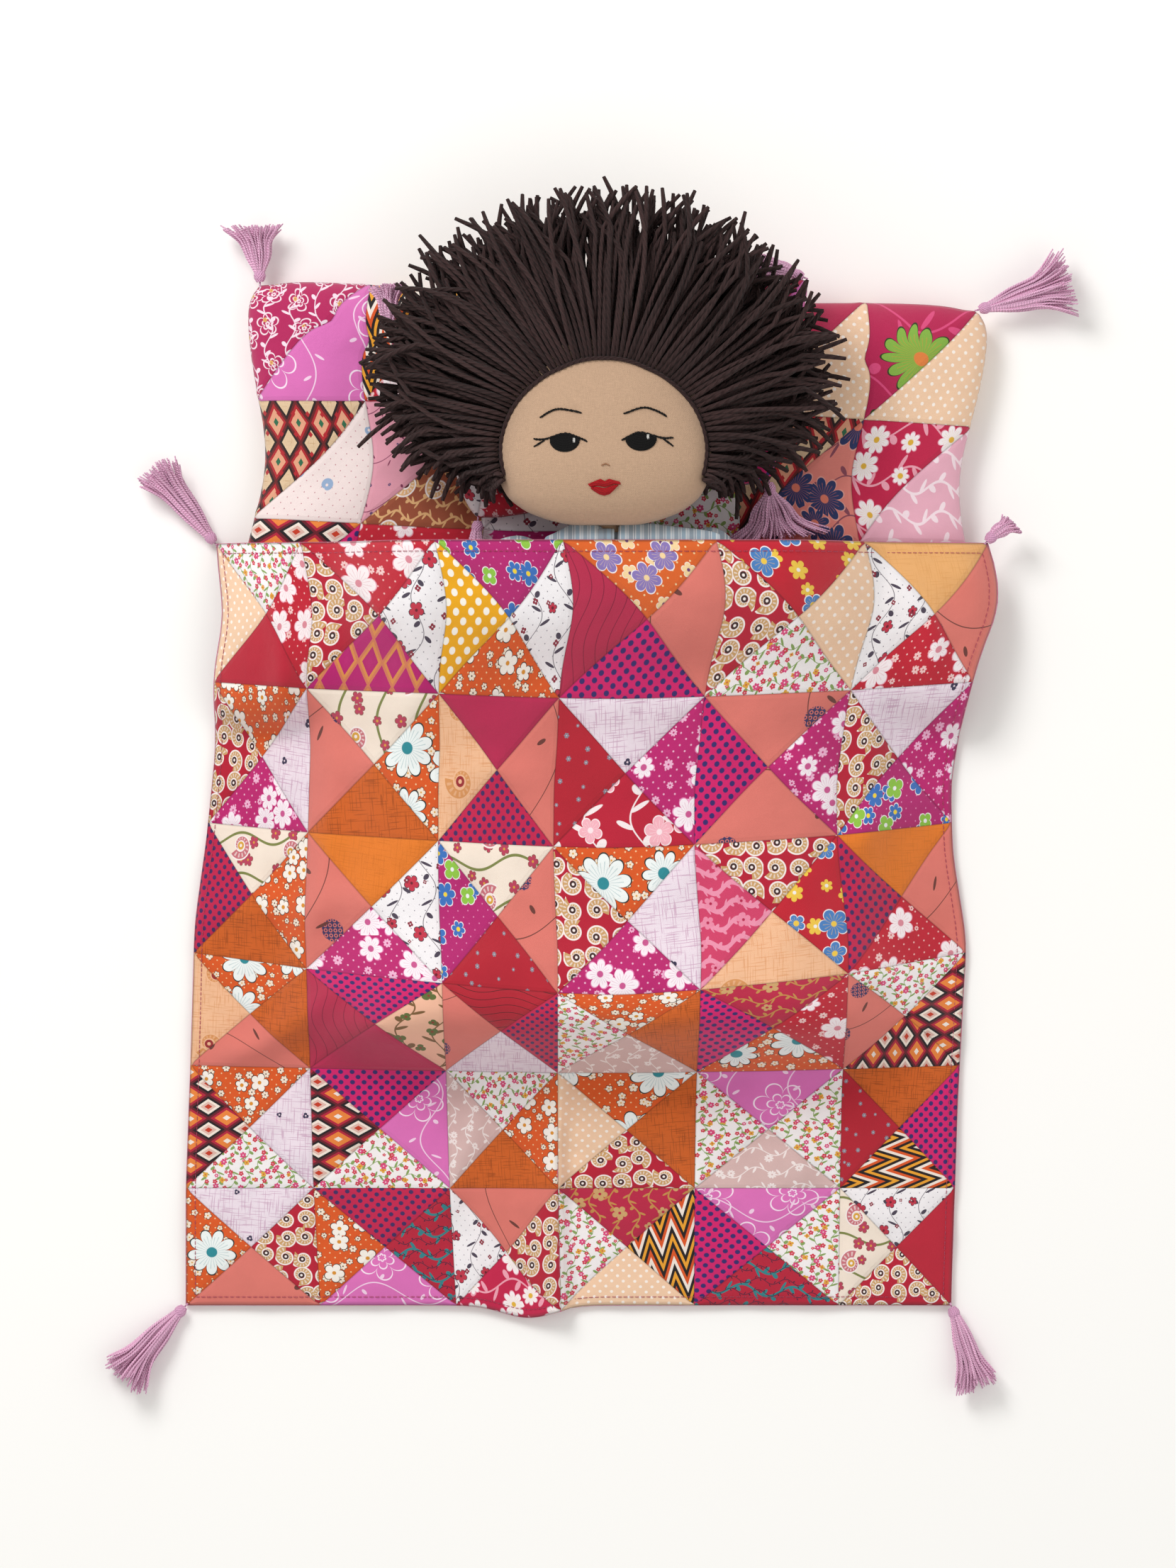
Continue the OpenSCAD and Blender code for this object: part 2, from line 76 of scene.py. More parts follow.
def hexTone(code):
    # a #rrggbb colour as the linear colour that shaders work in
    parts = [int(code[i:i + 2], 16) / 255 for i in (1, 3, 5)]
    return tuple(c / 12.92 if c <= 0.04045 else ((c + 0.055) / 1.055) ** 2.4 for c in parts) + (1.0,)


class Wire:
    # a shader socket that arithmetic works on
    def __init__(self, paint, socket):
        self.paint = paint
        self.socket = socket

    def math(self, operation, *others, clamp=False):
        return self.paint.node("ShaderNodeMath", {"operation": operation, "use_clamp": clamp},
                               [self, *others])

    def __add__(self, other):
        return self.math("ADD", other)

    def __sub__(self, other):
        return self.math("SUBTRACT", other)

    def __rsub__(self, other):
        return self.paint.node("ShaderNodeMath", {"operation": "SUBTRACT"}, [other, self])

    def __mul__(self, other):
        return self.math("MULTIPLY", other)

    def __truediv__(self, other):
        return self.math("DIVIDE", other)

    __radd__ = __add__
    __rmul__ = __mul__

    def fract(self):
        return self.math("FRACT")

    def size(self):
        return self.math("ABSOLUTE")

    def sine(self):
        return self.math("SINE")

    def below(self, limit, soft):
        # 1 where this is under the limit and 0 where it is over, with a soft change
        return (limit - self).math("MULTIPLY_ADD", 1 / soft, 0.5, clamp=True)


class Paint:
    # the nodes of one material
    def __init__(self, name, roughness=0.9, sheen=0.15):
        self.material = bpy.data.materials.new(name)
        self.material.use_nodes = True
        self.tree = self.material.node_tree
        self.shader = self.tree.nodes["Principled BSDF"]
        self.shader.inputs["Roughness"].default_value = roughness
        self.shader.inputs["Sheen Weight"].default_value = sheen
        self.shader.inputs["Sheen Roughness"].default_value = 0.6
        self.shader.inputs["Specular IOR Level"].default_value = 0.25

    def node(self, kind, settings=None, values=(), output=0):
        made = self.tree.nodes.new(kind)
        for key, value in (settings or {}).items():
            setattr(made, key, value)
        pairs = values.items() if isinstance(values, dict) else enumerate(values)
        for key, value in pairs:
            if isinstance(value, Wire):
                self.tree.links.new(value.socket, made.inputs[key])
            else:
                made.inputs[key].default_value = value
        return Wire(self, made.outputs[output])

    def split(self, vector):
        made = self.node("ShaderNodeSeparateXYZ", None, [vector]).socket.node
        return [Wire(self, out) for out in made.outputs]

    def join(self, x, y, z=0.0):
        return self.node("ShaderNodeCombineXYZ", None, [x, y, z])

    def mix(self, share, first, second):
        return self.node("ShaderNodeMix", {"data_type": "RGBA"}, {0: share, 6: first, 7: second}, 2)

    def flat(self):
        # the cloth's own flat millimetres, from its UV map
        x, y, _ = self.split(self.node("ShaderNodeTexCoord", output="UV"))
        return x * 1000, y * 1000

    def place(self):
        # millimetres in the frame
        return [axis * 1000 for axis in self.split(self.node("ShaderNodeTexCoord", output="Object"))]

    def attribute(self, name, output="Fac"):
        return self.node("ShaderNodeAttribute", {"attribute_name": name}, output=output)

    def noise(self, x, y, z, size, detail=2.0):
        place = self.join(x * (1 / size), y * (1 / size), z)
        return self.node("ShaderNodeTexNoise", None, {"Vector": place, "Scale": 1.0, "Detail": detail})

    def shade(self, colour, light):
        # the colour times a number that varies
        grey = self.join(light, light, light)
        return self.node("ShaderNodeMix", {"data_type": "RGBA", "blend_type": "MULTIPLY"},
                         {0: 1.0, 6: colour, 7: grey}, 2)

    def finish(self, colour, height=None, deep=0.0003, strength=0.6):
        self.tree.links.new(colour.socket, self.shader.inputs["Base Color"])
        if height is not None:
            normal = self.node("ShaderNodeBump", None,
                               {"Strength": strength, "Distance": deep, "Height": height})
            self.tree.links.new(normal.socket, self.shader.inputs["Normal"])
        return self.material


# printed cottons: each motif takes the paint, the colour so far and flat x and y in mm

def addDots(paint, colour, x, y, tone, pitch, radius):
    u = ((x + y) * (0.7071 / pitch)).fract() - 0.5
    v = ((x - y) * (0.7071 / pitch)).fract() - 0.5
    mask = (u * u + v * v).math("SQRT").below(radius / pitch, 0.35 / pitch)
    return paint.mix(mask, colour, hexTone(tone))


def cellMiddle(paint, x, y, pitch, loose=0.75):
    # distance in mm, angle and a random number, about the middle of loosely scattered cells
    place = paint.join(x * (1 / pitch), y * (1 / pitch), 0.0)
    settings = {"voronoi_dimensions": "2D", "feature": "F1"}
    spot = paint.node("ShaderNodeTexVoronoi", settings, {"Vector": place, "Scale": 1.0, "Randomness": loose},
                      "Position")
    cellX, cellY, _ = paint.split(spot)
    u = (x * (1 / pitch) - cellX) * pitch
    v = (y * (1 / pitch) - cellY) * pitch
    chance = (cellX * 12.9 + cellY * 78.2).sine().size()
    return (u * u + v * v).math("SQRT"), v.math("ARCTAN2", u) + chance * 6.3, chance


def petalReach(angle, petals, radius):
    # how far a flower's edge is from its middle, round the flower
    return ((angle * (petals / 2)).math("COSINE").size().math("POWER", 0.5) * 0.52 + 0.48) * radius


def addBlooms(paint, colour, x, y, tone, middle, pitch, radius, petals=5, line=None, loose=0.75):
    far, angle, chance = cellMiddle(paint, x, y, pitch, loose)
    reach = petalReach(angle, petals, radius) * (chance * 0.45 + 0.6)
    if line:
        colour = paint.mix(far.below(reach + 0.35 + radius * 0.03, 0.3), colour, hexTone(line))
    colour = paint.mix(far.below(reach, 0.3), colour, hexTone(tone))
    if radius > 7:
        # the fine veins of a large petal
        vein = (angle * petals * 3).sine().below(-0.75, 0.3) * far.below(reach * 0.75, 0.5)
        colour = paint.mix(vein * 0.35, colour, hexTone(middle))
    return paint.mix(far.below(radius * 0.2, 0.4), colour, hexTone(middle))


def addOutlines(paint, colour, x, y, tone, pitch, radius, petals=6, width=0.6):
    # flowers drawn in line only
    far, angle, chance = cellMiddle(paint, x, y, pitch, 0.6)
    reach = petalReach(angle, petals, radius)
    for share in (1.0, 0.5, 0.16):
        colour = paint.mix((far - reach * share).size().below(width, 0.35), colour, hexTone(tone))
    return colour


def addPaisley(paint, colour, x, y, tone, core, pitch, radius, edge="#f6ece8"):
    # commas that curl inwards round a dark seed
    far, angle, chance = cellMiddle(paint, x, y, pitch, 0.3)
    turn = (angle * 0.15915).fract()
    middle = (turn * -0.42 + 0.8) * radius
    half = (1 - turn) * (0.26 * radius) + 0.35
    off = (far - middle).size()
    colour = paint.mix(off.below(half + 0.9, 0.3), colour, hexTone(edge))
    colour = paint.mix(off.below(half, 0.3), colour, hexTone(tone))
    beads = (angle * 14).sine().below(-0.3, 0.5) * off.below(half * 0.6, 0.4)
    colour = paint.mix(beads * 0.6, colour, hexTone(edge))
    colour = paint.mix(far.below(radius * 0.3, 0.3), colour, hexTone(core))
    return paint.mix(far.below(radius * 0.12, 0.3), colour, hexTone(edge))


def addLozenges(paint, colour, x, y, tone, pitch, share):
    u = ((x * (1 / pitch)).fract() - 0.5).size()
    v = ((y * (0.8 / pitch)).fract() - 0.5).size()
    return paint.mix((u + v).below(share, 0.03), colour, hexTone(tone))


def addHives(paint, colour, x, y, tone, pitch, radius):
    # dark discs with a honeycomb of small rings left open in them
    far, angle, chance = cellMiddle(paint, x, y, pitch, 0.8)
    u = (x * 0.34).fract() - 0.5
    v = (y * 0.34).fract() - 0.5
    ring = ((u * u + v * v).math("SQRT") - 0.3).size().below(0.09, 0.1)
    return paint.mix((1 - ring) * far.below(radius, 0.5), colour, hexTone(tone))


def addVines(paint, colour, x, y, tone, pitch, width, leaf=0.3):
    # wavy stems with leaves left and right of them
    over = y + (x * (3.3 / pitch)).sine() * (pitch * 0.24)
    off = ((over * (1 / pitch)).fract() - 0.5) * pitch
    step = pitch * 0.34
    run = ((x * (1 / step)).fract() - 0.5) * step
    side = ((x * (0.5 / step)).fract() - 0.5).math("SIGN")
    out = off - side * (step * 0.42)
    lean = run - out * side * 0.5
    blade = lean * lean * (1 / (leaf * step * 0.62) ** 2) + out * out * (1 / (leaf * step * 1.35) ** 2)
    colour = paint.mix(blade.below(1.0, 0.25), colour, hexTone(tone))
    return paint.mix(off.size().below(width, 0.3), colour, hexTone(tone))


def addLines(paint, colour, x, y, tone, pitch, width, wave=0.0, across=False):
    along, over = (x, y) if across else (y, x)
    line = ((over + (along * 0.12).sine() * wave) * (1 / pitch)).fract()
    return paint.mix((line - 0.5).size().below(width / pitch / 2, 0.3 / pitch), colour, hexTone(tone))


def addHatch(paint, colour, x, y, tone, share):
    for u, v in ((x, y), (y, x)):
        streak = paint.noise(u * 0.08, v * 1.4, 7.0, 1.0, 0.0)
        colour = paint.mix(streak.below(0.36, 0.06) * share, colour, hexTone(tone))
    return colour


def addDiamonds(paint, colour, x, y, tones, pitch):
    u = ((x * (1 / pitch)).fract() - 0.5).size()
    v = ((y * (0.62 / pitch)).fract() - 0.5).size()
    step = ((u + v) * 9).math("FLOOR") / 9  # woven in steps
    for i, tone in enumerate(tones):
        colour = paint.mix(step.below(0.78 - 0.17 * i, 0.02), colour, hexTone(tone))
    return colour


def addZigzag(paint, colour, x, y, tones, pitch):
    tooth = ((x * (1 / pitch)).fract() - 0.5).size() * 1.6
    band = (y * (0.55 / pitch) + tooth).fract()
    for i, tone in enumerate(tones):
        limit = 1 - (i + 1) / (len(tones) + 1)
        colour = paint.mix(band.below(limit, 0.02), colour, hexTone(tone))
    return colour


prints = {  # name: ground colour, then the motifs printed on it in order
    "dot": ("#d01c6a", [(addDots, "#35276b", 4.9, 1.5)]),
    "cdot": ("#c01f4c", [(addDots, "#41295f", 4.9, 1.4)]),
    "orf": ("#d9581f", [(addDots, "#f3cf9c", 4.4, 0.45),
                        (addBlooms, "#f3e3cf", "#3a2a20", 10, 2.4, 6, "#5a2d18"),
                        (addBlooms, "#f5eee4", "#d8902c", 19, 6.2, 5, "#3a2a20")]),
    "ort": ("#d9581f", [(addDots, "#f3cf9c", 4.4, 0.45),
                        (addBlooms, "#f3e3cf", "#d89a28", 10, 2.6, 5, "#5a2d18"),
                        (addBlooms, "#eef4f2", "#2b8a95", 44, 17, 9, "#22302e", 0.5)]),
    "sal": ("#da776c", [(addHives, "#3c3560", 52, 6.5), (addVines, "#6b3b34", 92, 0.3, 0.07)]),
    "pai": ("#b51a33", [(addPaisley, "#cba06a", "#3d2420", 12.5, 6.4)]),
    "dit": ("#f3eeee", [(addVines, "#86a35c", 9.5, 0.22, 0.42),
                        (addBlooms, "#cf3048", "#f0c0c6", 6.2, 1.6, 5),
                        (addBlooms, "#e0a73c", "#c2263f", 13, 1.9, 4),
                        (addBlooms, "#d8447a", "#f6dbe4", 11, 2.1, 6)]),
    "pea": ("#f1cbaa", [(addDots, "#fbf0e6", 5.0, 0.95)]),
    "yel": ("#efab10", [(addDots, "#fbf6ea", 7.0, 2.0)]),
    "crl": ("#b62a4c", [(addLines, "#7e1536", 6.5, 0.4, 3.0)]),
    "bur": ("#cc6020", [(addHatch, "#95430f", 0.6)]),
    "xht": ("#ecdee8", [(addHatch, "#cba6bf", 0.75),
                        (addBlooms, "#3a3550", "#ecd9e3", 40, 2.6, 3, None, 0.9)]),
    "mfl": ("#bb226e", [(addDots, "#efb8d4", 4.6, 0.5), (addBlooms, "#eeb5d3", "#bb226e", 13, 2.8, 8),
                        (addBlooms, "#f8eef4", "#c9568f", 25, 9, 7, "#e58cba")]),
    "rfl": ("#bf2033", [(addDots, "#eeb9b6", 5.0, 0.5), (addBlooms, "#f0c8c6", "#bd1a2b", 14, 2.4, 7),
                        (addBlooms, "#f7ecee", "#d98a98", 29, 10, 6, "#e9a3b4")]),
    "lea": ("#b91d36", [(addVines, "#f5e9e9", 27, 0.5, 0.34),
                        (addBlooms, "#f3b3bf", "#fbe6ea", 30, 8, 5, "#fbeef0")]),
    "eth": ("#c33a22", [(addDiamonds, ["#f0e3d6", "#20181c", "#b3203a", "#e8843a", "#f2e6dc"], 15)]),
    "zig": ("#1e1718", [(addZigzag, ["#f0e4d8", "#d8541e", "#1e1718", "#e9a02c"], 14)]),
    "pnk": ("#d96fb6", [(addOutlines, "#f6e2f0", 44, 15, 6, 0.45), (addVines, "#f1cfe6", 34, 0.4, 0.14)]),
    "vin": ("#d6b6b2", [(addVines, "#f2e6e3", 13, 0.35, 0.3),
                        (addBlooms, "#f2e6e3", "#d3b0ac", 15, 2.6, 9)]),
    "rst": ("#b31f30", [(addBlooms, "#8d8796", "#d9c9c9", 11, 1.5, 6)]),
    "wfl": ("#f2eef0", [(addDots, "#6f6876", 4.6, 0.3), (addVines, "#4b4252", 21, 0.22, 0.26),
                        (addBlooms, "#c23348", "#6d1a2c", 23, 4.2, 5, "#3c3440"),
                        (addBlooms, "#8d2a3c", "#f2eef0", 16, 1.8, 4)]),
    "lin": ("#efbb93", [(addHatch, "#d9935f", 0.5), (addPaisley, "#d8955c", "#9c2f33", 46, 10, "#efbb93")]),
    "vtg": ("#f2e3d3", [(addLines, "#7d8448", 24, 1.6, 4.0, True),
                        (addBlooms, "#b8405a", "#d9a43c", 15, 3.6, 5, "#8a5a4a"),
                        (addPaisley, "#c8707a", "#d9a43c", 36, 8)]),
    "red": ("#b72236", []),
    "cri": ("#b62850", []),
    "tea": ("#b41f38", [(addVines, "#2f8086", 15, 0.8, 0.36), (addVines, "#32203a", 8, 0.25, 0.2)]),
    "gen": ("#b4246f", [(addDots, "#e58cba", 5, 0.4),
                        (addBlooms, "#3b70bb", "#f0d23a", 20, 6.5, 6, "#f3eef0"),
                        (addBlooms, "#8fc445", "#f0f0f0", 29, 6.0, 4, "#f3eef0")]),
    "geo": ("#dc6426", [(addDots, "#f4d5a0", 5, 0.5),
                        (addBlooms, "#f4d5a0", "#6b3a78", 15, 4.5, 5, "#f7e9d6"),
                        (addBlooms, "#8b78b8", "#f4d5a0", 36, 7.5, 6, "#f3eef0")]),
    "ger": ("#c01f30", [(addBlooms, "#f0c84a", "#f4f0ec", 17, 5.0, 6),
                        (addBlooms, "#4a80c0", "#f0c84a", 34, 8, 5, "#f3eef0")]),
    "oro": ("#ecb070", [(addHatch, "#dc9a54", 0.4)]),
    "ora": ("#e27a26", [(addHatch, "#c86a1a", 0.4)]),
    "mag": ("#b91f70", [(addDiamonds, ["#b5186c", "#d98c4a", "#b5186c"], 15)]),
    "mot": ("#cf4068", [(addVines, "#ea93ae", 10, 1.4, 0.4), (addBlooms, "#e88aa6", "#b01c48", 17, 4, 5)]),
    "grn": ("#efb89c", [(addVines, "#7a5a34", 22, 0.5, 0.34),
                        (addBlooms, "#5d6b35", "#8a3a28", 17, 4.5, 3)]),
    "drp": ("#b01f30", [(addLines, "#2a1418", 7, 0.45, 3.0)]),
    "gld": ("#b62444", [(addVines, "#c08a4a", 12, 0.5, 0.34),
                        (addBlooms, "#c9a06a", "#b31c3e", 19, 4.5, 5)]),
    "bet": ("#dcbf9b", [(addHatch, "#b98f62", 0.6),
                        (addDiamonds, ["#dcbf9b", "#2a1d1c", "#b0242c", "#e0a080", "#2f6a4a"], 14),
                        (addLozenges, "#b0242c", 9, 0.16)]),
    "pin": ("#e59fb0", [(addVines, "#8a3a5c", 27, 0.25, 0.1),
                        (addBlooms, "#4b3a6c", "#e59fb0", 19, 1.0, 1)]),
    "moo": ("#f0dfdc", [(addDots, "#b76a78", 4.6, 0.32), (addBlooms, "#93abcb", "#f0dcd8", 34, 4.0, 1)]),
    "brn": ("#9c5238", [(addVines, "#e3b37c", 9, 0.6, 0.4), (addPaisley, "#e3b37c", "#5c1c24", 21, 6.5)]),
    "big": ("#b51f50", [(addVines, "#d94a7c", 46, 0.7, 0.22),
                        (addBlooms, "#84b044", "#e3823f", 58, 20, 13, "#2c3a1c", 0.5)]),
    "sna": ("#e2857a", [(addVines, "#8a4a5a", 22, 0.4, 0.3),
                        (addBlooms, "#2c3866", "#e07c66", 29, 12, 9, "#e7a79b")]),
    "dai": ("#c21f49", [(addVines, "#eea3b4", 26, 0.6, 0.3),
                        (addBlooms, "#f8eff0", "#e2b23c", 22, 8.5, 8, "#e9a3b4")]),
    "pal": ("#ebb0c2", [(addVines, "#f9e3ea", 17, 0.8, 0.42)]),
    "mlf": ("#b4245c", [(addVines, "#f2dce8", 13, 0.35, 0.34), (addOutlines, "#f4dfe8", 17, 6.2, 5, 0.4),
                        (addBlooms, "#e0b060", "#b4245c", 17, 1.4, 5)]),
}


def clothOf(name, wash=0.12):
    tone, motifs = prints[name]
    paint = Paint("print_" + name)
    x, y = paint.flat()
    colour = paint.shade(hexTone(tone), paint.noise(x, y, 1.0, 16, 3.0) * wash + (1 - wash / 2))
    for motif, *options in motifs:
        colour = motif(paint, colour, x, y, *options)
    # seams: the distance to the patch's own sides, in mm
    side = paint.split(paint.attribute("sides", "Vector"))
    seam = side[0].math("MINIMUM", side[1]).math("MINIMUM", side[2])
    # painted shade: the print is darkened within about 0.7 mm of each seam, where the sunken seam lies in
    # shade
    colour = paint.shade(colour, 1 - seam.below(0.35, 0.7) * 0.42)
    weave = (x * 7.4).sine() * (y * 7.4).sine() * 0.08
    crumple = paint.noise(x, y, 5.0, 9.0, 3.0) * 0.9
    groove = seam.below(1.2, 2.4)
    return paint.finish(colour, weave + crumple - groove, 0.0009, 0.7)


# plain cloths and threads

def plainCloth(name, tone, slub=0.1, fine=6.0, roughness=0.92):
    paint = Paint(name, roughness)
    x, y, z = paint.place()
    along = paint.noise(x * 0.35, y * 3.2, z * 0.2, 1.0, 1.0)
    over = paint.noise(x * 3.2, y * 0.35, z * 0.2, 1.0, 1.0)
    colour = paint.shade(hexTone(tone), (along + over) * slub * 1.6 + (1 - slub * 1.6))
    weave = (x * fine).sine() * (y * fine).sine() * 0.35
    return paint.finish(colour, weave + along + over, 0.00035, 0.5)


def stripedCloth(name, axis=0, pitch=13.0, ground="#dfe6ea"):
    # blue stripes of uneven width on a pale ground, run along the garment
    paint = Paint(name)
    place = paint.place()
    over = place[axis] * (1 / pitch)
    stripe = over.fract()
    fold = paint.noise(place[0], place[1], 2.0, 11, 2.0)
    # painted shade: the colour follows the fold noise that also raises the bumps, darker in the hollows of
    # the folds and lighter on their tops
    colour = paint.shade(hexTone(ground), fold * 0.14 + 0.93)
    for middle, half, tone in ((0.14, 0.13, "#a3bccd"), (0.42, 0.05, "#c2d1da"), (0.66, 0.14, "#9fb0be"),
                               (0.9, 0.03, "#8399ac")):
        colour = paint.mix((stripe - middle).size().below(half, 0.03), colour, hexTone(tone))
    weave = (place[0] * 7.0).sine() * (place[1] * 7.0).sine() * 0.2
    return paint.finish(colour, weave + fold * 2, 0.0005, 0.5)


def pliedYarn(name, tone, plies, pitch, roughness=0.85, spread=0.35, sheen=0.2):
    # threads carry their length in mm, their ring position and a tint of their own
    paint = Paint(name, roughness, sheen)
    ringX, ringY, _ = paint.split(paint.attribute("ring", "Vector"))
    angle = ringY.math("ARCTAN2", ringX)
    twist = (angle * plies + paint.attribute("along") * (6.283 / pitch)).sine()
    tint = paint.attribute("tint")
    # painted shade: the twist darkens the grooves between the plies in the colour as well as in the bumps;
    # the tint gives each thread a tone of its own
    light = (tint - 0.5) * spread + 1 + twist * 0.16
    return paint.finish(paint.shade(hexTone(tone), light), twist, 0.0005, 0.7)


# making meshes

def meshPiece(name, points, faces, materials, uvs=None, slots=None, sides=None, smooth=True):
    mesh = bpy.data.meshes.new(name)
    mesh.from_pydata(points, [], faces)
    for material in materials:
        mesh.materials.append(material)
    if uvs:
        layer = mesh.uv_layers.new(name="flat")
        for polygon in mesh.polygons:
            for loop in polygon.loop_indices:
                layer.data[loop].uv = uvs(polygon.index, mesh.loops[loop].vertex_index)
    if slots:
        mesh.polygons.foreach_set("material_index", slots)
    if sides:
        data = mesh.attributes.new("sides", "FLOAT_VECTOR", "CORNER").data
        for polygon in mesh.polygons:
            for loop in polygon.loop_indices:
                data[loop].vector = sides(polygon.index, mesh.loops[loop].vertex_index)
    if smooth:
        mesh.polygons.foreach_set("use_smooth", [True] * len(mesh.polygons))
    mesh.update()
    piece = bpy.data.objects.new(name, mesh)
    bpy.context.scene.collection.objects.link(piece)
    return piece


def skinned(name, rings, material, closed=True, puff=0.0, seed=0.0, size=18.0):
    # a surface through rings of points, with soft dents pushed into it
    count = len(rings[0])
    points = [p.copy() for ring in rings for p in ring]
    faces = []
    for k in range(len(rings) - 1):
        for i in range(count):
            a, b = k * count + i, k * count + (i + 1) % count
            faces.append((a, a + count, b + count, b))
    if closed:
        for ring, turn in ((0, 1), (len(rings) - 1, -1)):
            middle = sum(rings[ring], Vector()) / count
            points.append(middle)
            last = len(points) - 1
            for i in range(count):
                a, b = ring * count + i, ring * count + (i + 1) % count
                faces.append((a, b, last) if turn == 1 else (b, a, last))
    piece = meshPiece(name, points, faces, [material])
    if puff:
        normals = [v.normal.copy() for v in piece.data.vertices]
        for v, normal in zip(piece.data.vertices, normals):
            dent = bumpy(v.co.x * 1000 + seed, v.co.y * 1000, v.co.z * 1000, size)
            v.co += normal * (dent * puff / 1000)
        piece.data.update()
    return piece


def soften(piece, levels=1):
    made = piece.modifiers.new("soft", "SUBSURF")
    made.levels = levels
    made.render_levels = levels
    return piece


def thicken(piece, thickness, offset=-1.0):
    made = piece.modifiers.new("cloth", "SOLIDIFY")
    made.thickness = thickness
    made.offset = offset
    return piece


def threadTree():
    # turns every line of a mesh into a round thread
    tree = bpy.data.node_groups.new("roundThreads", "GeometryNodeTree")
    for name, kind in (("Geometry", "NodeSocketGeometry"), ("Radius", "NodeSocketFloat"),
                       ("Sides", "NodeSocketInt"), ("Material", "NodeSocketMaterial")):
        tree.interface.new_socket(name, in_out="INPUT", socket_type=kind)
    tree.interface.new_socket("Geometry", in_out="OUTPUT", socket_type="NodeSocketGeometry")

    def add(kind, links=(), **settings):
        made = tree.nodes.new(kind)
        for key, value in settings.items():
            setattr(made, key, value)
        for key, socket in dict(links).items():
            tree.links.new(socket, made.inputs[key])
        return made

    source = add("NodeGroupInput")
    line = add("GeometryNodeMeshToCurve", {"Mesh": source.outputs["Geometry"]})
    run = add("GeometryNodeSplineParameter")
    millimetres = add("ShaderNodeMath", {0: run.outputs["Length"]}, operation="MULTIPLY")
    millimetres.inputs[1].default_value = 1000.0
    marked = add("GeometryNodeStoreNamedAttribute",
                 {"Geometry": line.outputs["Curve"], "Value": millimetres.outputs[0]},
                 data_type="FLOAT", domain="POINT")
    marked.inputs["Name"].default_value = "along"
    girth = add("GeometryNodeInputNamedAttribute", data_type="FLOAT")
    girth.inputs["Name"].default_value = "girth"
    profile = add("GeometryNodeCurvePrimitiveCircle",
                  {"Resolution": source.outputs["Sides"], "Radius": source.outputs["Radius"]})
    place = add("GeometryNodeInputPosition")
    ring = add("GeometryNodeStoreNamedAttribute",
               {"Geometry": profile.outputs["Curve"], "Value": place.outputs[0]},
               data_type="FLOAT_VECTOR", domain="POINT")
    ring.inputs["Name"].default_value = "ring"
    solid = add("GeometryNodeCurveToMesh", {"Profile Curve": ring.outputs["Geometry"]})
    solid.inputs["Fill Caps"].default_value = True
    tree.links.new(marked.outputs["Geometry"], solid.inputs["Curve"])
    tree.links.new(girth.outputs["Attribute"], solid.inputs["Scale"])
    smooth = add("GeometryNodeSetShadeSmooth", {"Geometry": solid.outputs["Mesh"]})
    real = add("GeometryNodeRealizeInstances", {"Geometry": smooth.outputs["Geometry"]})
    painted = add("GeometryNodeSetMaterial",
                  {"Geometry": real.outputs["Geometry"], "Material": source.outputs["Material"]})
    add("NodeGroupOutput", {"Geometry": painted.outputs["Geometry"]})
    return tree


roundThreads = threadTree()


def threads(name, lines, material, radius, sides=6, girths=None, tints=None):
    # lines of points in metres become threads; girths and tints are one number for each point
    points = [p for line in lines for p in line]
    edges, start = [], 0
    for line in lines:
        edges += [(start + i, start + i + 1) for i in range(len(line) - 1)]
        start += len(line)
    mesh = bpy.data.meshes.new(name)
    mesh.from_pydata(points, edges, [])
    mesh.attributes.new("girth", "FLOAT", "POINT").data.foreach_set("value", girths or [1.0] * len(points))
    mesh.attributes.new("tint", "FLOAT", "POINT").data.foreach_set("value", tints or [0.5] * len(points))
    piece = bpy.data.objects.new(name, mesh)
    bpy.context.scene.collection.objects.link(piece)
    made = piece.modifiers.new("threads", "NODES")
    made.node_group = roundThreads
    inputs = {s.name: s.identifier for s in roundThreads.interface.items_tree if s.in_out == "INPUT"}
    made[inputs["Radius"]] = radius / 1000
    made[inputs["Sides"]] = sides
    made[inputs["Material"]] = material
    graph = bpy.context.evaluated_depsgraph_get()
    graph.update()
    result = bpy.data.meshes.new_from_object(piece.evaluated_get(graph))
    piece.modifiers.clear()
    piece.data = result
    result.name = name
    bpy.data.meshes.remove(mesh)
    return piece


def place(piece, body, slotName, *nodes):
    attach(piece, body)
    if nodes:
        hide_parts(*nodes)
    return piece


# floor, light and camera

def buildStudio():
    paint = Paint("floor", 1.0, 0.0)
    x, y, _ = paint.place()
    floorPaint = paint.finish(paint.shade(hexTone(studio["floor"]),
                                          paint.noise(x, y, 0.0, 300, 1.0) * 0.01 + 0.995))
    floor = meshPiece("floor",
                      [Vector((sx * 6, sy * 6, -0.0004)) for sx, sy in ((-1, -1), (1, -1), (1, 1), (-1, 1))],
                      [(0, 1, 2, 3)], [floorPaint], smooth=False)
    world = bpy.data.worlds.new("studio")
    bpy.context.scene.world = world
    world.use_nodes = True
    sky = world.node_tree.nodes["Background"]
    sky.inputs["Color"].default_value = (1.0, 0.99, 0.97, 1)
    sky.inputs["Strength"].default_value = studio["sky"]
    for name, spot, size, power in lamps:
        light = bpy.data.lights.new(name, "AREA")
        light.size = size
        light.energy = power
        lamp = bpy.data.objects.new(name, light)
        bpy.context.scene.collection.objects.link(lamp)
        lamp.location = spot
        lamp.rotation_euler = (Vector((0, 0, 0)) - Vector(spot)).to_track_quat("-Z", "Y").to_euler()
    camera = bpy.data.cameras.new("camera")
    camera.lens = studio["lens"]
    camera.sensor_width = 36.0
    camera.clip_end = 60.0
    eye = bpy.data.objects.new("camera", camera)
    bpy.context.scene.collection.objects.link(eye)
    eye.location = (*studio["centre"], studio["height"])
    bpy.context.scene.camera = eye
    bpy.context.scene.view_settings.view_transform = "Standard"


buildStudio()
print("studio ready")

# cushions

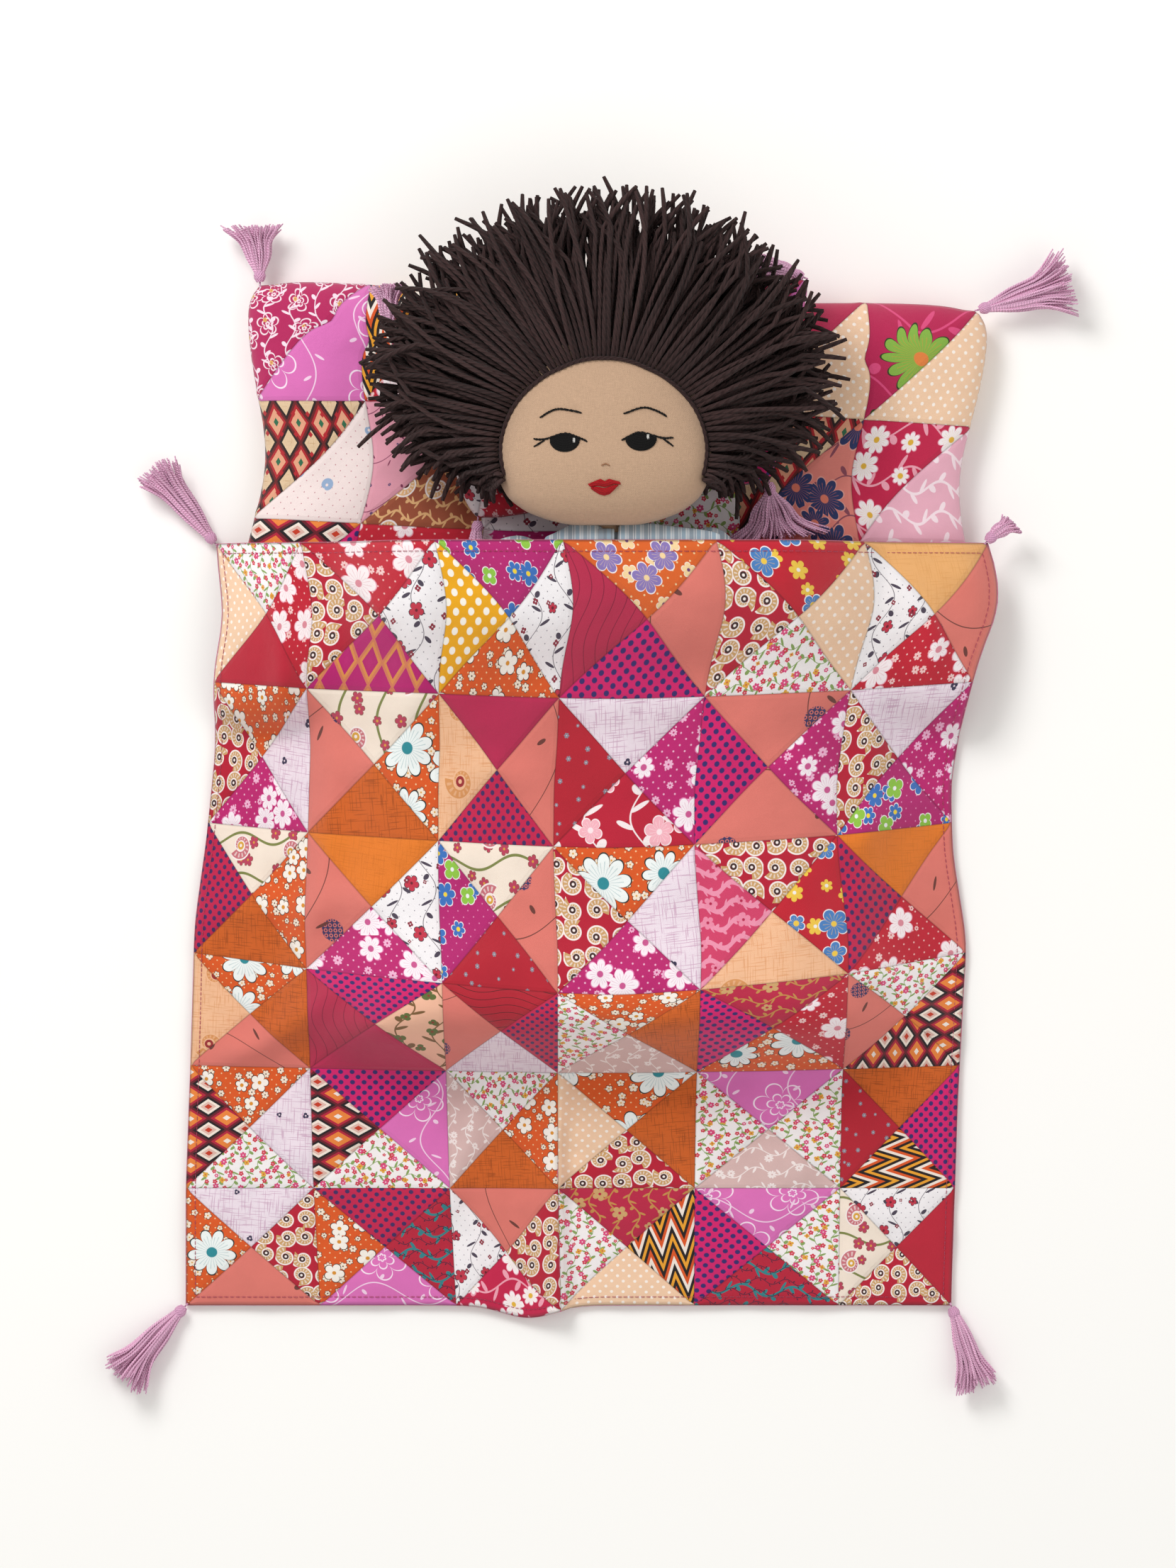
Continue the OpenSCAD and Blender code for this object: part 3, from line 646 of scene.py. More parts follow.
bigPillow = {"wide": 408, "deep": 200, "high": 46, "at": (12, 176), "turn": -2.1, "taper": 0.0, "base": 0.0,
             "blocks": (6, 3), "cells": 12}
smallPillow = {"wide": 201, "deep": 111, "high": 22, "at": (11, 214.5), "turn": 7.5, "taper": 0.175,
               "base": 46.4,
               "blocks": (4, 2), "cells": 12}
bigBlocks = [  # foot row first; upper left and lower right triangle of each block
    ["eth dot", "rfl pea", "mfl ort", "pnk bur", "dai sal", "red dit"],
    ["bet moo", "pin brn", "wfl wfl", "mfl dit", "bet sna", "dai pal"],
    ["mlf pnk", "zig rfl", "ora dot", "pea rfl", "cri pea", "big pea"]]
smallBlocks = [
    ["wfl rfl", "wfl cri", "mfl ora", "rst dot"],
    ["mlf pnk", "cri mfl", "pea rfl", "cri pnk"]]
pillowEars = 0.07
pillowEdge = 0.36


def pillowNorm(u, v):
    # 0 in the middle of a cushion and 1 on its seam
    r = math.hypot(u, v)
    if r < 0.001:
        return 0.0
    corner = 2 * abs(u * v) / (r * r)
    return ((abs(u) ** 16 + abs(v) ** 16) / 2) ** (1 / 16) * (1 + pillowEars * (1 - corner ** 2))


def pillowUpper(f, t):
    return t * (pillowEdge + (1 - pillowEdge) * max(0.0, 1 - f ** 3.4) ** 0.6)


def pillowLower(f, t):
    return 0.0 if f < 0.7 else t * pillowEdge * ((f - 0.7) / 0.3) ** 2.4


def sideDistances(corners, x, y):
    # distances in mm from a place to the three sides of a triangle
    out = []
    for i in range(3):
        (x0, y0), (x1, y1) = corners[i], corners[(i + 1) % 3]
        long = math.hypot(x1 - x0, y1 - y0)
        out.append(abs((x1 - x0) * (y - y0) - (y1 - y0) * (x - x0)) / long)
    return out


def cutFrom(corners, x, y):
    # each patch is cut from a place of its own on the cloth, turned by quarters
    chance = random.Random(round(sum(a * 3.7 + b * 1.9 for a, b in corners)))
    turn = math.radians(chance.choice((0, 90, 180, 270)) + chance.uniform(-6, 6))
    x0, y0 = chance.uniform(-200, 200), chance.uniform(-200, 200)
    return ((x * math.cos(turn) - y * math.sin(turn) + x0) / 1000,
            (x * math.sin(turn) + y * math.cos(turn) + y0) / 1000)


def buildPillow(name, facts, layout, cloths, seed):
    across, up = facts["blocks"]
    cells = facts["cells"]
    nx, ny = across * cells, up * cells
    turn = math.radians(facts["turn"])
    points, uvs, index = [], [], {}

    def point(i, j, top):
        rim = i in (0, nx) or j in (0, ny)
        key = (i, j, top or rim)
        if key in index:
            return index[key]
        a, b = 2 * i / nx - 1, 2 * j / ny - 1
        f = max(abs(a), abs(b))
        f = min(1.0, f * (1 + 0.06 * (1 - f)))
        r = math.hypot(a, b)
        s = f / pillowNorm(a / r, b / r) if r > 0.001 else 0
        u, v = (a / r * s, b / r * s) if r > 0.001 else (0, 0)
        x = facts["wide"] / 2 * u * (1 + facts["taper"] * v)
        y = facts["deep"] / 2 * v
        z = pillowUpper(f, facts["high"]) if top or rim else pillowLower(f, facts["high"])
        soft = ease((1 - f) * 6)
        if top:
            z += soft * (2.2 * bumpy(x + seed, y, 0, 34) + 1.0 * bumpy(x, y + seed, 4, 13))
            crease = 3.4 * math.exp(-((1 - f) * 9) ** 2) * max(0.0, bumpy(x * 2, y * 2, seed, 14))
            z -= crease * min(1, (1 - f) * 20)
        wx = facts["at"][0] + x * math.cos(turn) - y * math.sin(turn)
        wy = facts["at"][1] + x * math.sin(turn) + y * math.cos(turn)
        index[key] = len(points)
        points.append(at(wx, wy, facts["base"] + z))
        uvs.append((a * facts["wide"] / 2000, b * facts["deep"] / 2000))
        return index[key]

    faces, slots, patches = [], [], []
    names = sorted({code for row in layout for block in row for code in block.split()})
    for top in (True, False):
        for j in range(ny):
            for i in range(nx):
                bi, bj = i // cells, j // cells
                li, lj = i % cells, j % cells
                upper, lower = layout[bj][bi].split()
                q = [point(i, j, top), point(i + 1, j, top), point(i + 1, j + 1, top), point(i, j + 1, top)]
                x0, x1 = (facts["wide"] * (k / across - 0.5) for k in (bi, bi + 1))
                y0, y1 = (facts["deep"] * (k / up - 0.5) for k in (bj, bj + 1))
                above, under = [(x0, y0), (x1, y1), (x0, y1)], [(x0, y0), (x1, y0), (x1, y1)]
                if li == lj:
                    parts = [((q[0], q[2], q[3]), upper, above), ((q[0], q[1], q[2]), lower, under)]
                elif lj > li:
                    parts = [(tuple(q), upper, above)]
                else:
                    parts = [(tuple(q), lower, under)]
                for face, code, corners in parts:
                    faces.append(face if top else face[::-1])
                    slots.append(names.index(code))
                    patches.append(corners)
    flat = [(u * 1000, v * 1000) for u, v in uvs]
    piece = meshPiece(name, points, faces, [cloths[code] for code in names],
                      lambda face, vertex: cutFrom(patches[face], *flat[vertex]), slots,
                      lambda face, vertex: sideDistances(patches[face], *flat[vertex]))
    return soften(piece, 1)


cloths = {code: clothOf(code) for code in prints}
print("prints mixed:", len(cloths))

bigCover = buildPillow("big_pillow_cover", bigPillow, bigBlocks, cloths, 3.0)
smallCover = buildPillow("small_pillow_cover_sewn", smallPillow, smallBlocks, cloths, 41.0)
place(bigCover, "big_pillow", "patchwork", "pillow_cover", "pillow_filling")
place(smallCover, "small_pillow", "patchwork", "small_pillow_cover", "small_pillow_filling")
print("cushions sewn")

# quilt

quilt = {"blocks": 6, "cells": 14, "block": (82.0, 79.0), "head": 136.0, "long": 434.0, "lift": 5.0,
         "thick": 1.1}
quiltLayout = [  # head row first; head, left, right and foot triangle of each block
    ["dit pea rfl red", "rfl pai wfl mag", "gen yel wfl orf", "geo crl sal dot", "ger pai pea dit",
     "oro wfl sal rfl"],
    ["orf pai xht mfl", "vtg sal ort bur", "cri lin sal cdot", "xht rst mfl lea", "sal dot mfl sal",
     "xht pai mfl gen"],
    ["vtg cdot orf bur", "ora sal wfl mfl", "vtg gen sal rst", "ort pai xht mfl", "pai mot ger lin",
     "ora cdot sal rfl"],
    ["ort lin bur sal", "dot crl grn cri", "drp sal cdot xht", "orf dit bur vin", "gld dot rfl ort",
     "dit sal eth eth"],
    ["orf eth xht dit", "dot eth pnk dit", "dit vin orf bur", "ort pea bur pai", "pnk dit dit vin",
     "bur rst dot zig"],
    ["xht ort pai sal", "cdot orf tea pnk", "sal wfl pai dai", "gld dit zig pea", "pnk dot dit tea",
     "wfl vtg red pai"]]
ridgeRun = [(-400, 0), (-172, 0), (-160, 14), (-150, 42), (-140, 66), (-128, 74), (-110, 69), (-80, 56),
            (-20, 50), (20, 54), (45, 64), (64, 73), (80, 88), (95, 98), (110, 104), (125, 107.5),
            (136, 109)]
leftRun = [(-300, -231), (-230, -231), (-150, -228), (-80, -226), (-30, -219), (20, -214), (60, -215),
           (95, -209), (136, -214)]
rightRun = [(-300, 205), (-180, 209), (-90, 214), (-40, 206), (0, 205), (40, 212), (70, 220), (100, 232),
            (125, 230), (136, 224)]
middleRows = [136, 47, -37, -120, -165, -231, -298]
edgeRows = [136, 57, -23, -97, -161, -231, -298]
headColumns = [0, 0.112, 0.287, 0.45, 0.646, 0.838, 1]
footColumns = [0, 0.176, 0.354, 0.49, 0.664, 0.853, 1]


def smoothLookup(value, table, reach=7.0):
    return sum(lookup(value + reach * k, table) * w for k, w in ((-1, 0.25), (0, 0.5), (1, 0.25)))


def softMax(a, b, r=6.0):
    return (a + b + math.sqrt((a - b) ** 2 + r * r)) / 2


def quiltBase(x, y):
    body = smoothLookup(y, ridgeRun) * (1 - ease((abs(x - 8) - 96) / 112))
    u = (x - bigPillow["at"][0]) / (bigPillow["wide"] / 2 + 22)
    v = (y - bigPillow["at"][1] + 7) / (bigPillow["deep"] / 2 + 34)
    f = min(1.0, pillowNorm(u, v))
    return quilt["lift"] - 3 + softMax(body, (bigPillow["high"] + 6) * max(0.0, 1 - f ** 5) ** 0.55)


folds = [  # where a fold starts and ends, its height and its width in mm
    ((-140, -112), (-214, -158), 7, 9), ((-120, -60), (-222, -70), 5, 11), ((-150, 30), (-168, -110), 6, 9),
    ((150, -100), (205, -150), 7, 9), ((140, -40), (200, -10), 5, 10), ((156, 60), (150, -80), 6, 10),
    ((-60, -150), (-90, -250), 3.5, 9), ((90, -155), (120, -240), 3.5, 10), ((-186, 120), (-176, 40), 6, 8),
    ((172, 120), (196, 60), 6, 9), ((-100, 100), (-110, 20), 3, 12), ((60, 30), (140, -20), 3, 13),
    ((-80, -100), (40, -112), 3, 8), ((40, -150), (60, -292), 2.5, 10), ((205, 120), (222, 100), 4, 7)]


def foldHeight(x, y):
    high = 0.0
    for (x0, y0), (x1, y1), tall, wide in folds:
        dx, dy = x1 - x0, y1 - y0
        t = ((x - x0) * dx + (y - y0) * dy) / (dx * dx + dy * dy)
        if -0.2 < t < 1.2:
            bend = 6 * math.sin(3.1 * t)
            off = ((x - x0) * dy - (y - y0) * dx) / math.hypot(dx, dy) + bend
            high += tall * math.exp(-(off / wide) ** 2) * ease((t + 0.2) * 2.5) * ease((1.2 - t) * 2.5)
    return high


drape = {"gain": 1.25, "wander": (2.5, 2.0), "lowest": 3.4, "puff": 1.5, "sink": 0.8}
pleatFacts = {"start": -108, "high": 14.5, "middle": -17, "wide": 30, "steep": 2.8}


def quiltPlace(u, v):
    # a point of the quilt from its block coordinates, columns u and rows v, in the set's mm
    tilt = abs(u - 3.4) / (3.4 if u < 3.4 else 2.6)
    k = min(5, int(v))
    y = lerp(lerp(middleRows[k], middleRows[k + 1], v - k), lerp(edgeRows[k], edgeRows[k + 1], v - k),
             tilt ** 1.4)
    k = min(5, int(u))
    share = lerp(lerp(headColumns[k], headColumns[k + 1], u - k),
                 lerp(footColumns[k], footColumns[k + 1], u - k),
                 (quilt["head"] - y) / quilt["long"])
    x = lerp(smoothLookup(y, leftRun, 10), smoothLookup(y, rightRun, 10), share)
    edge = min(u, 6 - u, v, 6 - v)
    loose = ease(edge * 1.5 + 0.25)
    z = quiltBase(x, y) + drape["gain"] * loose * foldHeight(x, y)
    broad, narrow = drape["wander"]
    wander = broad * bumpy(x * 1.3, y, 0.0, 44) + narrow * bumpy(x, y * 1.4, 9.0, 20)
    z += wander * (0.4 + 0.6 * loose) + 0.6
    # the long pleat down the middle of the foot end, steep on its right
    pleat = ease((pleatFacts["start"] - y) / 60)
    if pleat > 0:
        off = x - pleatFacts["middle"] + 2.0 * math.sin(y / 22)
        if off < 0:
            z += pleat * pleatFacts["high"] * max(0.0, 1 + off / pleatFacts["wide"]) ** 1.6
        else:
            z += pleat * pleatFacts["high"] * max(0.0, 1 - off / pleatFacts["steep"])
        y -= 7 * ease((-230 - y) / 60) * math.exp(-((x + 36) / 20) ** 2)
    # seams pull in and the patches puff between them
    fu, fv = u % 1, v % 1
    slanting = min(abs(fu - fv), abs(fu + fv - 1)) * 0.7
    near = min(fu, 1 - fu, fv, 1 - fv, slanting) * quilt["block"][0]
    z += drape["puff"] * (1 - math.exp(-near / 5)) - drape["sink"]
    return x, y, max(z, drape["lowest"])


def buildQuilt():
    n, cells = quilt["blocks"], quilt["cells"]
    total = n * cells
    wide, deep = quilt["block"]
    spots = [[quiltPlace(i / cells, j / cells) for i in range(total + 1)] for j in range(total + 1)]
    points = [at(*spots[j][i]) for j in range(total + 1) for i in range(total + 1)]
    flat = [(i / cells * wide, -j / cells * deep) for j in range(total + 1) for i in range(total + 1)]
    names = sorted({code for row in quiltLayout for block in row for code in block.split()})
    faces, slots, patches = [], [], []
    for j in range(total):
        for i in range(total):
            bi, bj, li, lj = i // cells, j // cells, i % cells, j % cells
            head, left, right, foot = quiltLayout[bj][bi].split()
            a, b = j * (total + 1) + i, j * (total + 1) + i + 1
            c, d = b + total + 1, a + total + 1
            x0, x1, y0, y1 = bi * wide, (bi + 1) * wide, -bj * deep, -(bj + 1) * deep
            mid = ((x0 + x1) / 2, (y0 + y1) / 2)
            corner = {"head": [(x0, y0), (x1, y0), mid], "left": [(x0, y0), (x0, y1), mid],
                      "right": [(x1, y0), (x1, y1), mid], "foot": [(x0, y1), (x1, y1), mid]}
            code = {"head": head, "left": left, "right": right, "foot": foot}
            upper = li + lj < cells - 1
            if li == lj:
                headSide = upper or li + lj == cells - 1 and li < cells / 2
                parts = [((a, c, b), "head" if headSide else "right"),
                         ((a, d, c), "left" if upper else "foot")]
            elif li + lj == cells - 1:
                parts = [((a, d, b), "head" if li > lj else "left"),
                         ((d, c, b), "right" if li > lj else "foot")]
            else:
                side = ("head" if li > lj else "left") if upper else ("right" if li > lj else "foot")
                parts = [((a, d, c, b), side)]
            for face, side in parts:
                faces.append(face)
                slots.append(names.index(code[side]))
                patches.append(corner[side])
    top = meshPiece("quilt_patchwork", points, faces, [cloths[name] for name in names],
                    lambda face, vertex: cutFrom(patches[face], *flat[vertex]), slots,
                    lambda face, vertex: sideDistances(patches[face], *flat[vertex]))
    soften(thicken(top, quilt["thick"] / 1000), 1)
    under = [p - Vector((0, 0, 0.0024)) for p in points]
    square = [(j * (total + 1) + i, (j + 1) * (total + 1) + i, (j + 1) * (total + 1) + i + 1,
               j * (total + 1) + i + 1)
              for j in range(total) for i in range(total)]
    back = meshPiece("quilt_back", under, square, [plainCloth("backing", "#d4708f", 0.06)])
    thicken(back, 0.0007)
    return top, back


quiltTop, quiltBack = buildQuilt()
place(quiltTop, "quilt", "patchwork", "quilt_top")
place(quiltBack, "quilt", "backing_cotton", "quilt_backing")
print("quilt draped")


def hemStitches():
    # running stitches just inside the quilt's edge
    lines = []
    inset, step = 0.075, 0.043
    for side in range(4):
        count = int((6 - 2 * inset) / step)
        for k in range(count):
            pair = []
            for t in (0.0, 0.35, 0.7):
                run = inset + (k + t) * step
                u, v = [(run, inset), (6 - inset, run), (run, 6 - inset), (inset, run)][side]
                x, y, z = quiltPlace(u, v)
                pair.append(at(x, y, z + (0.35 if t == 0.35 else -0.1)))
            lines.append(pair)
    return lines


hem = threads("quilt_hem_stitches", hemStitches(), pliedYarn("hem_thread", "#c9486a", 2, 1.2), 0.2, 5)
place(hem, "quilt", "binding_thread")

# tassels

tasselPaint = pliedYarn("tassel_cotton", "#f4bddd", 2, 1.6, 0.8, 0.3, 0.1)
wrapPaint = pliedYarn("wrap_cotton", "#eeb4d8", 2, 1.4, 0.8, 0.25, 0.1)
tassel = {"strands": 120, "points": 10, "wrap": 3.4, "wrapLong": 9.0, "coilPoints": 111, "coilTurn": 0.57}


def buildTassels(name, body, corners, nodes, seed):
    # corners: place, compass direction, dip, skirt length, radius and how flat it lies
    chance = random.Random(seed)
    strands, tints, girths, wraps = [], [], [], []
    count = tassel["points"]
    for spot, turn, dip, long, wide, flat in corners:
        turn, dip = math.radians(turn), math.radians(dip)
        run = Vector((math.cos(turn) * math.cos(dip), math.sin(turn) * math.cos(dip), -math.sin(dip)))
        side = Vector((-math.sin(turn), math.cos(turn), 0))
        up = run.cross(side)
        if up.z < 0:
            up = -up
        start = at(*spot)
        wrap, wrapLong = tassel["wrap"], tassel["wrapLong"]
        coil = []
        for i in range(tassel["coilPoints"]):
            angle, t = i * tassel["coilTurn"], i / (tassel["coilPoints"] - 1)
            r = wrap * (0.62 + 0.38 * math.sin(math.pi * min(1, t * 1.15))) - 0.35
            p = run * (1.2 + t * (wrapLong - 1.5)) + side * r * math.cos(angle) + up * r * math.sin(angle)
            coil.append(start + p / 1000)
        wraps.append(coil)
        bow = chance.uniform(-4, 4)
        for s in range(tassel["strands"]):
            angle = chance.uniform(0, 2 * math.pi)
            share = math.sqrt(chance.uniform(0, 1))
            reach = long * chance.uniform(0.86, 1.04)
            tint = chance.uniform(0, 1)
            wave, phase = chance.uniform(0.2, 1.0), chance.uniform(0, 6.28)
            line = []
            for i in range(count):
                t = i / (count - 1)
                swell = 1 + 0.16 * math.sin(2.2 * t * math.pi)
                spread = share * lerp(wrap * 0.75, wide, t ** 1.25) * swell
                sway = wave * t * math.sin(phase + 7 * t)
                across = spread * math.cos(angle) + sway + bow * t * t
                p = run * (wrapLong - 3 + t * (reach + 3)) + side * across
                p = start + (p + up * spread * math.sin(angle) * flat) / 1000
                p.z = max(p.z, 0.0007)
                line.append(p)
            strands.append(line)
            tints += [tint] * count
            girths += [1.0] * (count - 1) + [0.6]
        # the loop that ties the tassel to its corner
        wraps.append([start + (run * (-1.5 + 0.5 * i) + up * 0.5 * math.sin(i)) / 1000 for i in range(8)])
    skirts = threads(name + "_skirts", strands, tasselPaint, 0.62, 5, girths, tints)
    bound = threads(name + "_wraps", wraps, wrapPaint, 0.5, 6)
    place(skirts, body, "tassel_thread", nodes[0])
    place(bound, body, "binding_thread", nodes[1])


def pillowCorner(facts, sx, sy):
    a = math.radians(facts["turn"])
    x, y = sx * facts["wide"] / 2 * (1 + facts["taper"] * sy), sy * facts["deep"] / 2
    return (facts["at"][0] + x * math.cos(a) - y * math.sin(a),
            facts["at"][1] + x * math.sin(a) + y * math.cos(a),
            facts["base"] + facts["high"] * pillowEdge)


def quiltCorner(x, y):
    return (x, y, max(4.9, quiltBase(x, y) - 2))


footY = quilt["head"] - quilt["long"]
buildTassels("quilt_tassel", "quilt", [
    (quiltCorner(-214, 136), 128, -8, 46, 13, 0.8), (quiltCorner(224, 136), 45, 0, 10, 7, 0.9),
    (quiltCorner(-231, footY), 226, -8, 46, 15, 0.7), (quiltCorner(205, footY), 291, -8, 40, 12, 0.8)],
    ("quilt_tassels", "quilt_tassel_bindings"), 5)
buildTassels("big_pillow_tassel", "big_pillow", [
    (pillowCorner(bigPillow, -1, 1), 92, 0, 24, 17, 0.7),
    (pillowCorner(bigPillow, 1, 1), 15, 0, 46, 20, 0.6),
    (pillowCorner(bigPillow, -1, -1), -28, 7, 40, 7, 0.9),
    (pillowCorner(bigPillow, 1, -1), 208, 7, 40, 7, 0.9)],
    ("pillow_tassels", "pillow_tassel_bindings"), 6)
buildTassels("small_pillow_tassel", "small_pillow", [
    (pillowCorner(smallPillow, -1, 1), 97, 0, 18, 10, 0.7),
    (pillowCorner(smallPillow, 1, 1), 160, 0, 18, 9, 0.8),
    (pillowCorner(smallPillow, 1, -1), -84, 0, 24, 30, 0.3),
    (pillowCorner(smallPillow, -1, -1), 265, 0, 22, 7, 0.9)],
    ("small_pillow_tassels", "small_pillow_tassel_bindings"), 7)
print("tassels tied")

# head and face

head = {"x": 7.0, "chin": 144.0, "long": 122.0, "wide": 121.0, "thick": 70.0, "square": 2.3}
headWide = [(0, 0.3), (0.02, 0.5), (0.06, 0.72), (0.12, 0.88), (0.19, 0.96), (0.28, 1), (0.4, 0.99),
            (0.52, 0.94),
            (0.64, 0.86), (0.75, 0.75), (0.85, 0.6), (0.93, 0.43), (0.98, 0.25), (1, 0.12)]
headThick = [(0, 0.24), (0.02, 0.42), (0.06, 0.64), (0.12, 0.82), (0.19, 0.93), (0.28, 1), (0.4, 1),
             (0.52, 0.99),
             (0.64, 0.95), (0.75, 0.87), (0.85, 0.73), (0.93, 0.53), (0.98, 0.3), (1, 0.12)]
head["mid"] = smallPillow["base"] + smallPillow["high"] + 0.8 + head["thick"] / 2


def faceZ(x, y):
    s = (y - head["chin"]) / head["long"]
    half = head["wide"] / 2 * lookup(s, headWide)
    u = min(0.999, abs(x - head["x"]) / half)
    curve = (1 - u ** head["square"]) ** (1 / head["square"])
    return head["mid"] + head["thick"] / 2 * lookup(s, headThick) * curve


def ringAt(x, y, z, halfWide, halfThick, count=48, square=2.3):
    out = []
    for i in range(count):
        c, s = math.cos(2 * math.pi * i / count), math.sin(2 * math.pi * i / count)
        out.append(at(x + halfWide * math.copysign(abs(c) ** (2 / square), c), y,
                      z + halfThick * math.copysign(abs(s) ** (2 / square), s)))
    return out


skinPaint = plainCloth("skin_cotton", "#be9d81", 0.16, 6.5)
levels = [0, 0.006, 0.02, 0.04, 0.06, 0.09, 0.12, 0.155, 0.19, 0.235, 0.28, 0.34, 0.4, 0.46, 0.52, 0.58,
          0.64, 0.7,
          0.75, 0.8, 0.85, 0.89, 0.93, 0.96, 0.98, 0.992, 1]
headRings = [ringAt(head["x"], head["chin"] + head["long"] * s, head["mid"],
                    head["wide"] / 2 * lookup(s, headWide),
                    head["thick"] / 2 * lookup(s, headThick)) for s in levels]
headPiece = soften(skinned("head_cloth", headRings, skinPaint, puff=0.5, size=26))
place(headPiece, "head", "skin_cotton", "head_cover", "head_filling")


def onFace(x, y, lift=0.35):
    return at(x, y, faceZ(x, y) + lift)


def curveThrough(points, count):
    # a smooth curve through a few points, as evenly numbered places
    out = []
    last = len(points) - 1
    for i in range(count):
        t = i / (count - 1) * last
        k = min(last - 1, int(t))
        f = t - k
        p0, p1, p2, p3 = points[max(0, k - 1)], points[k], points[k + 1], points[min(last, k + 2)]
        out.append(tuple(0.5 * (2 * b + (c - a) * f + (2 * a - 5 * b + 4 * c - d) * f * f
                                + (3 * b - a - 3 * c + d) * f ** 3)
                         for a, b, c, d in zip(p0, p1, p2, p3)))
    return out


def stemStitch(points, stitch=3.2, lean=0.25):
    # overlapping slanted stitches along a line
    path = curveThrough(points, 60)
    long = sum(math.dist(a, b) for a, b in zip(path, path[1:]))
    count = max(2, int(long / stitch * 1.6))
    lines = []
    for k in range(count):
        a, b = k / (count + 0.6), min(1.0, (k + 1.6) / (count + 0.6))
        (x0, y0), (x1, y1) = (path[min(59, int(round(s * 59)))] for s in (a, b))
        d = math.dist((x0, y0), (x1, y1)) or 1
        ox, oy = -(y1 - y0) / d * lean, (x1 - x0) / d * lean
        lines.append([onFace(x0 + ox, y0 + oy, 0.0), onFace((x0 + x1) / 2, (y0 + y1) / 2, 0.5),
                      onFace(x1 - ox, y1 - oy, 0.0)])
    return lines


def satinStitch(x0, x1, upper, lower, pitch=0.42, slant=0.0):
    # side by side stitches between two edges, each edge a function of x
    lines = []
    for k in range(int((x1 - x0) / pitch) + 1):
        x = x0 + k * pitch
        top, bottom = upper(x), lower(x)
        if top - bottom > 0.3:
            lines.append([onFace(x + slant, bottom, 0.0),
                          onFace(x + slant * 0.5, lerp(bottom, top, 0.3), 0.65),
                          onFace(x, lerp(bottom, top, 0.7), 0.65), onFace(x - slant * 0.5, top, 0.0)])
    return lines


darkThread = pliedYarn("dark_thread", "#0d0b0b", 2, 1.3, 0.6, 0.4, 0.0)
redThread = pliedYarn("red_thread", "#b81a22", 2, 1.3, 0.5, 0.4, 0.0)
eyesData = [  # pupil left, right, top and foot; lid line from the outer lash; highlight
    {"pupil": (-23.0, -6.6, 194.3, 184.1),
     "lid": [(-32.0, 191.3), (-25.5, 191.2), (-15.2, 194.4), (-7.5, 192.2), (-2.3, 189.9)],
     "lashes": [[(-26.2, 190.7), (-31.8, 186.9)]], "light": (-9.6, 190.4)},
    {"pupil": (19.2, 36.2, 195.0, 184.7),
     "lid": [(45.6, 192.3), (39.5, 191.9), (27.6, 195.0), (21.5, 192.9), (17.1, 190.4)],
     "lashes": [[(39.8, 191.5), (45.8, 187.6)]], "light": (31.6, 192.4)}]
dark, lights = [], []
for facts in eyesData:
    x0, x1, high, low = facts["pupil"]
    mid, half = (x0 + x1) / 2, (x1 - x0) / 2

    def fromMiddle(x):
        return ((x - mid) / half) ** 2

    dark += satinStitch(x0, x1, lambda x: high - 3.2 * fromMiddle(x),
                        lambda x: high - 3.2 - (high - low - 3.2) * math.sqrt(max(0.0, 1 - fromMiddle(x))))
    dark += stemStitch(facts["lid"])
    for lash in facts["lashes"]:
        dark += stemStitch(lash, 4.0)
    lx, ly = facts["light"]
    lights += [[onFace(lx + dx, ly - 1.5, 0.7), onFace(lx + dx, ly, 1.0), onFace(lx + dx, ly + 1.3, 0.7)]
               for dx in (-0.35, 0.35)]
brows = stemStitch([(-28.4, 203.2), (-23, 206.6), (-17, 208), (-5.4, 205.9)], 3.0)
brows += stemStitch([(18.1, 205.1), (28.5, 208.8), (36, 207.2), (42.1, 204.1)], 3.0)
place(threads("eyes_stitched", dark, darkThread, 0.47, 6), "head", "dark_thread", "eyes")
place(threads("brows_stitched", brows, darkThread, 0.47, 6), "head", "dark_thread", "eyebrows")
place(threads("eye_lights_stitched", lights, pliedYarn("white_thread", "#f2f0ea", 2, 1.3), 0.33, 6), "head",
      "white_thread", "eye_lights")
noseLines = [[onFace(8 + sx * k, 177.4 - 0.5 * k, 0.0), onFace(8 + sx * (k + 0.6), 177.3 - 0.5 * k, 0.4),
              onFace(8 + sx * (k + 1.2), 176.9 - 0.5 * k, 0.0)] for sx in (-1, 1) for k in (0, 1.0)]
place(threads("nose_stitched", noseLines, pliedYarn("tan_thread", "#a9714a", 2, 1.3), 0.32, 6), "head",
      "tan_thread", "nose")


def lipTop(x):
    return lookup(x, [(-1.6, 165.9), (1.5, 167.3), (5.3, 168.9), (7.7, 167.6), (10.1, 168.9), (13.4, 167.9),
                      (16.3, 167.2)])


def lipFoot(x):
    return lookup(x, [(-1.6, 165.6), (2.0, 162.6), (5.0, 160.7), (7.7, 160.0), (10.4, 160.7), (13.2, 163.2),
                      (16.3, 167.0)])


def lipGap(x):
    return 165.3 - 0.5 * math.cos((x - 7.5) * 0.6) + 0.1 * (x - 7.5)


lipLines = satinStitch(-1.2, 16.0, lipTop, lambda x: max(lipFoot(x), lipGap(x)), 0.4, 0.5)
lipLines += satinStitch(-0.2, 15.0, lambda x: min(lipTop(x), lipGap(x) - 0.75), lipFoot, 0.4, -0.5)
place(threads("lips_stitched", lipLines, redThread, 0.4, 6), "head", "red_thread", "lips")
print("face embroidered")

# wig

